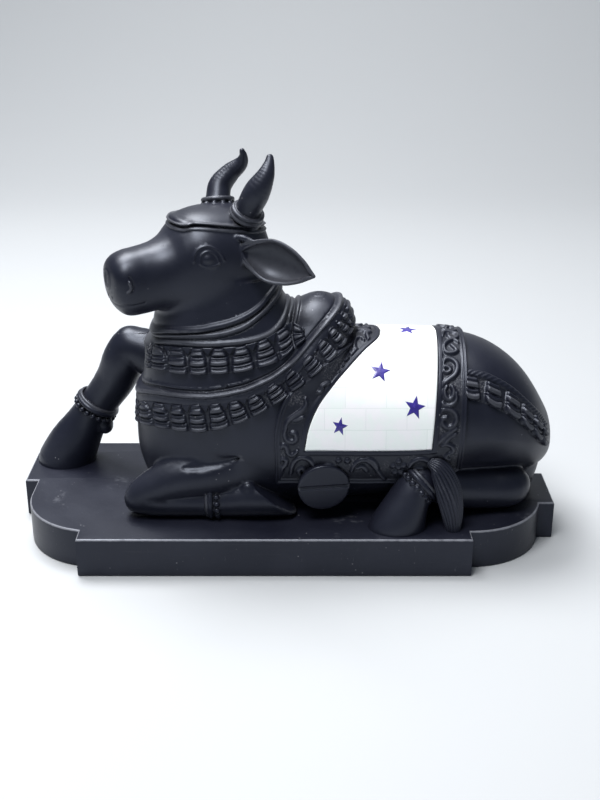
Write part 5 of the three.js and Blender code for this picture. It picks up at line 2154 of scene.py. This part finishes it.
@dataclass(frozen=True)
class Resin:
    """The dark cast body with its satin face, edges and crests lightened for wear and as a painted
    highlight, painted shade in its hollows, dust and scratches.
    """

    name: str
    dark: Colour = (0.0055, 0.0062, 0.0125, 1)
    light: Colour = (0.0105, 0.0115, 0.0195, 1)
    # Lighter colour of convex edges and crests, partly wear and partly a painted highlight; scratches use it
    # too.
    worn_and_highlight: Colour = (0.06, 0.062, 0.072, 1)
    dust: Colour = (0.42, 0.42, 0.45, 1)
    # Painted shade: the dull dark tone blended into hollows.
    hollow_shade: Colour = (0.009, 0.0095, 0.013, 1)
    sheen: Colour = (0.8, 0.86, 1.0, 1)
    # How strongly edges and crests are lightened, for wear and as a painted highlight.
    wear_and_highlight_strength: float = 0.6
    scratched: bool = False

    def material(self) -> bpy.types.Material:
        """Return the material.

        Returns:
            The new material.
        """
        f = Finish(self.name)
        where = f.place()
        cloudy = f.noise(where, 22, 4)
        grain = f.noise(where, 420, 3, 0.6)
        wear_and_highlight, cavity = f.attribute("wear_and_highlight"), f.attribute("cavity")
        colour = f.blend(cloudy.ramp(0.35, 0.7), self.dark, self.light)
        # Wear and painted highlight: convex edges and relief crests are lightened towards the edge colour.
        wear_and_highlight_mask = (wear_and_highlight * (0.4 + f.noise(where, 260, 4))).ramp(0.35, 0.95)
        colour = f.blend(wear_and_highlight_mask * self.wear_and_highlight_strength, colour, self.worn_and_highlight)
        # Painted shade: hollows are blended towards a dull dark tone.
        colour = f.blend(cavity * 0.55, colour, self.hollow_shade)
        patch = f.noise(where, 34, 2).ramp(0.5, 0.66)
        specks = f.node("ShaderNodeTexVoronoi", {"feature": "F1"}, {"Vector": where, "Scale": 190.0})
        fleck = (1 - specks.ramp(0.04, 0.12)) * patch
        chalk = (cavity * f.noise(where, 900, 2)).ramp(0.45, 0.7) * f.noise(where, 60, 2).ramp(0.48, 0.62)
        colour = f.blend((fleck * 0.4 + chalk * 0.16).clamp(), colour, self.dust)
        rough = 0.29 + 0.12 * cloudy + 0.08 * grain
        height = grain * 0.25 + f.noise(where, 1500, 2) * 0.12
        if self.scratched:
            streaks = f.noise(f.stretched(where, (12.0, 12.0, 900.0)), 3, 5, 0.7).ramp(0.62, 0.7)
            nicks = f.noise(f.stretched(where, (500.0, 500.0, 60.0)), 2, 3, 0.7).ramp(0.68, 0.74)
            colour = f.blend((streaks * 0.14 + nicks * 0.2).clamp(), colour, self.worn_and_highlight)
            rough = rough + 0.1 * streaks
            height = height - 0.5 * nicks
        f.feed(Base_Color=colour, Roughness=rough.clamp(), Specular_IOR_Level=0.43, Specular_Tint=self.sheen)
        f.bump(height, 0.00022, 0.5)
        return f.material


@dataclass(frozen=True)
class Pearl:
    """Bright mother-of-pearl tiles in staggered courses, with faint grey-green joints."""

    name: str
    tile: Pair = (27.0, 12.2)
    grey: Colour = (0.86, 0.89, 0.885, 1)
    white: Colour = (0.93, 0.935, 0.94, 1)
    mortar: Colour = (0.62, 0.68, 0.66, 1)
    green: Colour = (0.84, 0.93, 0.88, 1)
    rose: Colour = (0.95, 0.9, 0.95, 1)
    soil: Colour = (0.35, 0.38, 0.34, 1)

    def material(self) -> bpy.types.Material:
        """Return the material.

        Returns:
            The new material.
        """
        f = Finish(self.name)
        place = f.attribute("tile_place", "Vector")
        courses = {
            "Vector": place, "Scale": 1.0, "Brick Width": self.tile[0], "Row Height": self.tile[1],
            "Mortar Size": 0.16, "Mortar Smooth": 0.3, "Bias": 0.0,
        }
        shades = {"Color1": self.grey, "Color2": self.white, "Mortar": self.mortar}
        tiles = f.node("ShaderNodeTexBrick", {"offset": 0.5}, courses | shades)
        joint = f.node("ShaderNodeTexBrick", {"offset": 0.5}, courses, "Fac")
        cloud = f.noise(place, 0.09, 4)
        sheen = f.blend(cloud.ramp(0.4, 0.62), self.green, self.rose)
        colour = f.blend(0.35, tiles, sheen)
        stain = f.noise(place, 0.5, 5, 0.7).ramp(0.66, 0.75) * f.noise(place, 0.05, 2).ramp(0.5, 0.65)
        colour = f.blend(stain * 0.35, colour, self.soil)
        rough = (0.17 + 0.25 * joint + 0.1 * cloud).clamp()
        f.feed(Base_Color=colour, Roughness=rough, Coat_Weight=0.6, Coat_Roughness=0.08)
        f.bump(1 - joint, 0.00015, 0.4)
        return f.material


@dataclass(frozen=True)
class Lapis:
    """Deep blue-violet glaze with a dark seam at its edge."""

    name: str
    body: Colour = (0.03, 0.02, 0.2, 1)
    bright: Colour = (0.045, 0.03, 0.27, 1)
    seam: Colour = (0.012, 0.01, 0.03, 1)

    def material(self) -> bpy.types.Material:
        """Return the material.

        Returns:
            The new material.
        """
        f = Finish(self.name)
        where = f.place()
        colour = f.blend(f.noise(where, 300, 3).ramp(0.35, 0.7), self.body, self.bright)
        colour = f.blend(f.attribute("rim").ramp(0.2, 0.9), colour, self.seam)
        rough = 0.22 + 0.1 * f.noise(where, 150)
        f.feed(Base_Color=colour, Roughness=rough, Coat_Weight=0.5, Coat_Roughness=0.1)
        return f.material


@dataclass(frozen=True)
class Paper:
    """The plain pale floor."""

    name: str
    shade: Colour = (0.4, 0.414, 0.43, 1)
    light: Colour = (0.41, 0.423, 0.438, 1)

    def material(self) -> bpy.types.Material:
        """Return the material.

        Returns:
            The new material.
        """
        f = Finish(self.name)
        colour = f.blend(f.noise(f.place(), 3), self.shade, self.light)
        f.feed(Base_Color=colour, Roughness=0.7)
        return f.material


# The studio


@dataclass
class Studio:
    """Camera, floor and soft lights."""

    eye: Point = (0.0108, -0.7603, 0.4193)
    pitch: float = 23.0
    lens: float = 53.1
    world: Colour = (0.74, 0.86, 1.0, 1)
    world_strength: float = 0.22
    lights: Sequence[tuple[str, Point, Point, float, float]] = (
        ("key", (-0.4, 0.35, 1.3), (-0.05, 0.0, 0.1), 0.7, 27.0),
        ("front", (-0.3, -0.5, 1.4), (-0.08, 0.0, 0.1), 0.6, 20.0),
        ("backdrop", (0.1, 0.9, 2.4), (0.1, 2.0, 0.5), 1.6, 31.0),
    )
    front: float = -3.0
    sweep_start: float = 1.0
    sweep_radius: float = 1.0
    top: float = 4.0
    half_width: float = 5.0

    def build(self) -> None:
        """Set up the studio."""
        camera = bpy.data.objects.new("camera", bpy.data.cameras.new("camera"))
        camera.location = self.eye
        camera.rotation_euler = (math.radians(90 - self.pitch), 0, 0)
        camera.data.lens = self.lens
        bpy.context.scene.collection.objects.link(camera)
        bpy.context.scene.camera = camera
        bpy.context.scene.view_settings.view_transform = "Standard"
        for name, place, target, size, power in self.lights:
            self.light(name, np.asarray(place), np.asarray(target), size, power)
        world = bpy.data.worlds.new("studio")
        world.use_nodes = True
        back = next(node for node in world.node_tree.nodes if node.type == "BACKGROUND")
        back.inputs["Color"].default_value = self.world
        back.inputs["Strength"].default_value = self.world_strength
        bpy.context.scene.world = world
        self.floor()

    @staticmethod
    def light(name: str, place: Array, target: Array, size: float, power: float) -> None:
        """Hang a square lamp.

        Args:
            name: its name.
            place: where it hangs.
            target: what it looks at.
            size: length of its side.
            power: its power in watts.
        """
        lamp = bpy.data.lights.new(name, "AREA")
        lamp.size, lamp.energy = size, power
        holder = bpy.data.objects.new(name, lamp)
        holder.location = place
        way = target - place
        yaw = math.atan2(way[1], way[0]) - math.pi / 2
        holder.rotation_euler = (math.acos(-way[2] / np.linalg.norm(way)), 0, yaw)
        bpy.context.scene.collection.objects.link(holder)

    def floor(self) -> None:
        """Lay the floor, which sweeps up into the backdrop."""
        turns = np.linspace(0, math.pi / 2, 17)
        start, radius = self.sweep_start, self.sweep_radius
        profile = [(self.front, 0.0)]
        profile += [(start + radius * math.sin(a), radius * (1 - math.cos(a))) for a in turns]
        profile.append((start + radius, self.top))
        points = [(side * self.half_width, y, z) for y, z in profile for side in (-1, 1)]
        faces = [(2 * i, 2 * i + 1, 2 * i + 3, 2 * i + 2) for i in range(len(profile) - 1)]
        mesh = bpy.data.meshes.new("floor")
        mesh.from_pydata(points, [], faces)
        mesh.polygons.foreach_set("use_smooth", np.ones(len(faces), bool))
        floor = bpy.data.objects.new("floor", mesh)
        mesh.materials.append(Paper("floor_paper").material())
        bpy.context.scene.collection.objects.link(floor)


# The figure


GARLANDS = (
    Garland("upper_garland", UPPER_TOP, UPPER_FOOT, (
        (-0.5, -95.6), (0.5, -90.8), (1.5, -82.3), (2.5, -68.9), (3.5, -55.5), (4.5, -42), (5.5, -26.8),
        (6.5, -12), (7.5, 0.6), (8.5, 10.1), (9, 14.6),
    ), False, ((-0.5, 0.48), (9, 0.47)), 4),
    Garland("lower_garland", LOWER_TOP, LOWER_FOOT, (
        (-0.5, -103.5), (0.5, -100.3), (1.5, -93.4), (2.5, -81.4), (3.5, -69.4), (4.5, -56.8), (5.5, -43.3),
        (6.5, -30.2), (7.5, -17.8), (8.5, -5.6), (9.5, 6.4), (10.5, 18), (11.5, 27.4), (12.5, 34.1),
        (13.5, 38.9), (14.5, 42.4), (15.5, 45.5),
    ), True, ((-0.5, 0.49), (6, 0.47), (10, 0.42), (15.5, 0.42)), 9),
)


@dataclass(frozen=True)
class Half:
    """A piece of the casting: its side of the seam, its box, its sampling and its thinning."""

    name: str
    side: float
    low: Point
    high: Point
    voxel: float
    thin: float


HALVES = (
    Half("head_and_hump", 1.0, (-120, -76.2, 92), (60, 76.2, 242.5), 0.45, 0.12),
    Half("resting_body", -1.0, (-190, -76.2, -2.4), (190, 76.2, 150), 0.55, 0.2),
)


@dataclass
class Figure:
    """Builds every piece in order."""

    maker: MeshMaker
    trunk: Sculpture = field(default_factory=TRUNK.sculpt)
    lap: float = 0.15
    depth: float = 2.2

    def finish(self, piece: bpy.types.Object, slot: Slot, material: bpy.types.Material, *nodes: str) -> None:
        """Dress a piece and hide the solids that it replaces.

        Args:
            piece: the piece.
            slot: not used.
            material: its finish.
            nodes: solids that it replaces.
        """
        piece.data.materials.append(material)
        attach(piece, "root")
        if nodes:
            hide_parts(*nodes)
        LOG.info("%s: %d faces", piece.name, len(piece.data.polygons))

    def sculpt(self) -> Sculpture:
        """Return the whole figure as one sculpture.

        Returns:
            The trunk with all that is carved on it.
        """
        figure = Sculpture(list(self.trunk.layers))
        Collars().sculpt(figure)
        Head().sculpt(figure)
        Legs().sculpt(figure)
        return figure

    def casting(self, resin: bpy.types.Material) -> None:
        """Make the cast body in two pieces that meet under the upper garland.

        Args:
            resin: its finish.
        """
        figure = self.sculpt()
        above = off_line(SEAM)
        for half in HALVES:
            part = figure.upto(len(figure.layers))
            part.carve(Field(lambda p, side=half.side: self.lap + side * above(p)))
            piece = self.maker.skin(half.name, part, half.low, half.high, half.voxel, half.thin)
            self.shade(piece, figure)
            self.finish(piece, Slot.CASTING, resin, "nandi_bull_and_plinth")

    def shade(self, piece: bpy.types.Object, figure: Sculpture) -> None:
        """Give a piece the exact normals of the figure, and store its convex places, lightened for wear and
        as a painted highlight, and its hollows, given painted shade and dust.

        Args:
            piece: the piece.
            figure: what it is part of.
        """
        points = np.empty(len(piece.data.vertices) * 3, np.float32)
        piece.data.vertices.foreach_get("co", points)
        parts = points.reshape(-1, 3).astype(float) / self.maker.scale.unit - (0, 0, DECK)
        out = figure.normals(parts)
        piece.data.normals_split_custom_set_from_vertices(out.tolist())
        inner, outer = figure.distance(parts - self.depth * out), figure.distance(parts + self.depth * out)
        # Convex places are lightened, for wear and as a painted highlight; hollows get painted shade and
        # dust.
        paint(piece, "wear_and_highlight", ramp(inner + self.depth, 0.35, 1.3))
        paint(piece, "cavity", ramp(self.depth - outer, 0.5, 1.6))

    def build(self) -> None:
        """Make and dress every piece."""
        resin = Resin("satin_resin").material()
        self.casting(resin)
        for part in (*GARLANDS, SaddleCloth(), Crupper()):
            self.finish(part.build(self.maker, self.trunk), Slot.CASTING, resin)
        self.finish(Tassel().build(self.maker), Slot.CASTING, resin)
        # The plinth's edge colour is much lighter, painting a bright line along the top edge: partly wear,
        # partly a painted highlight; its scratches use it too.
        stone = Resin("plinth_resin", worn_and_highlight=(0.2, 0.205, 0.23, 1), wear_and_highlight_strength=0.85, scratched=True)
        self.finish(Plinth().build(self.maker), Slot.CASTING, stone.material())
        pearl = PearlField().build(self.maker, self.trunk)
        self.finish(pearl, Slot.PEARL, Pearl("pearl_tiles").material(), "pearl_saddle_field")
        lapis = Lapis("lapis_glaze").material()
        stars = BlueStars()
        for number in range(len(stars.places)):
            star = stars.build(self.maker, self.trunk, number)
            self.finish(star, Slot.LAPIS, lapis, f"blue_star_{number + 1}")


def main() -> None:
    """Build and dress every piece."""
    logging.basicConfig(level=logging.INFO, format="%(message)s")
    for extra in list(bpy.data.objects):
        bpy.data.objects.remove(extra)
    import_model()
    low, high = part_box("nandi_bull_and_plinth")
    Studio().build()
    Figure(MeshMaker(Scale((high[0] - low[0]) / PLINTH_PARTS))).build()


if __name__ == "__main__":
    main()
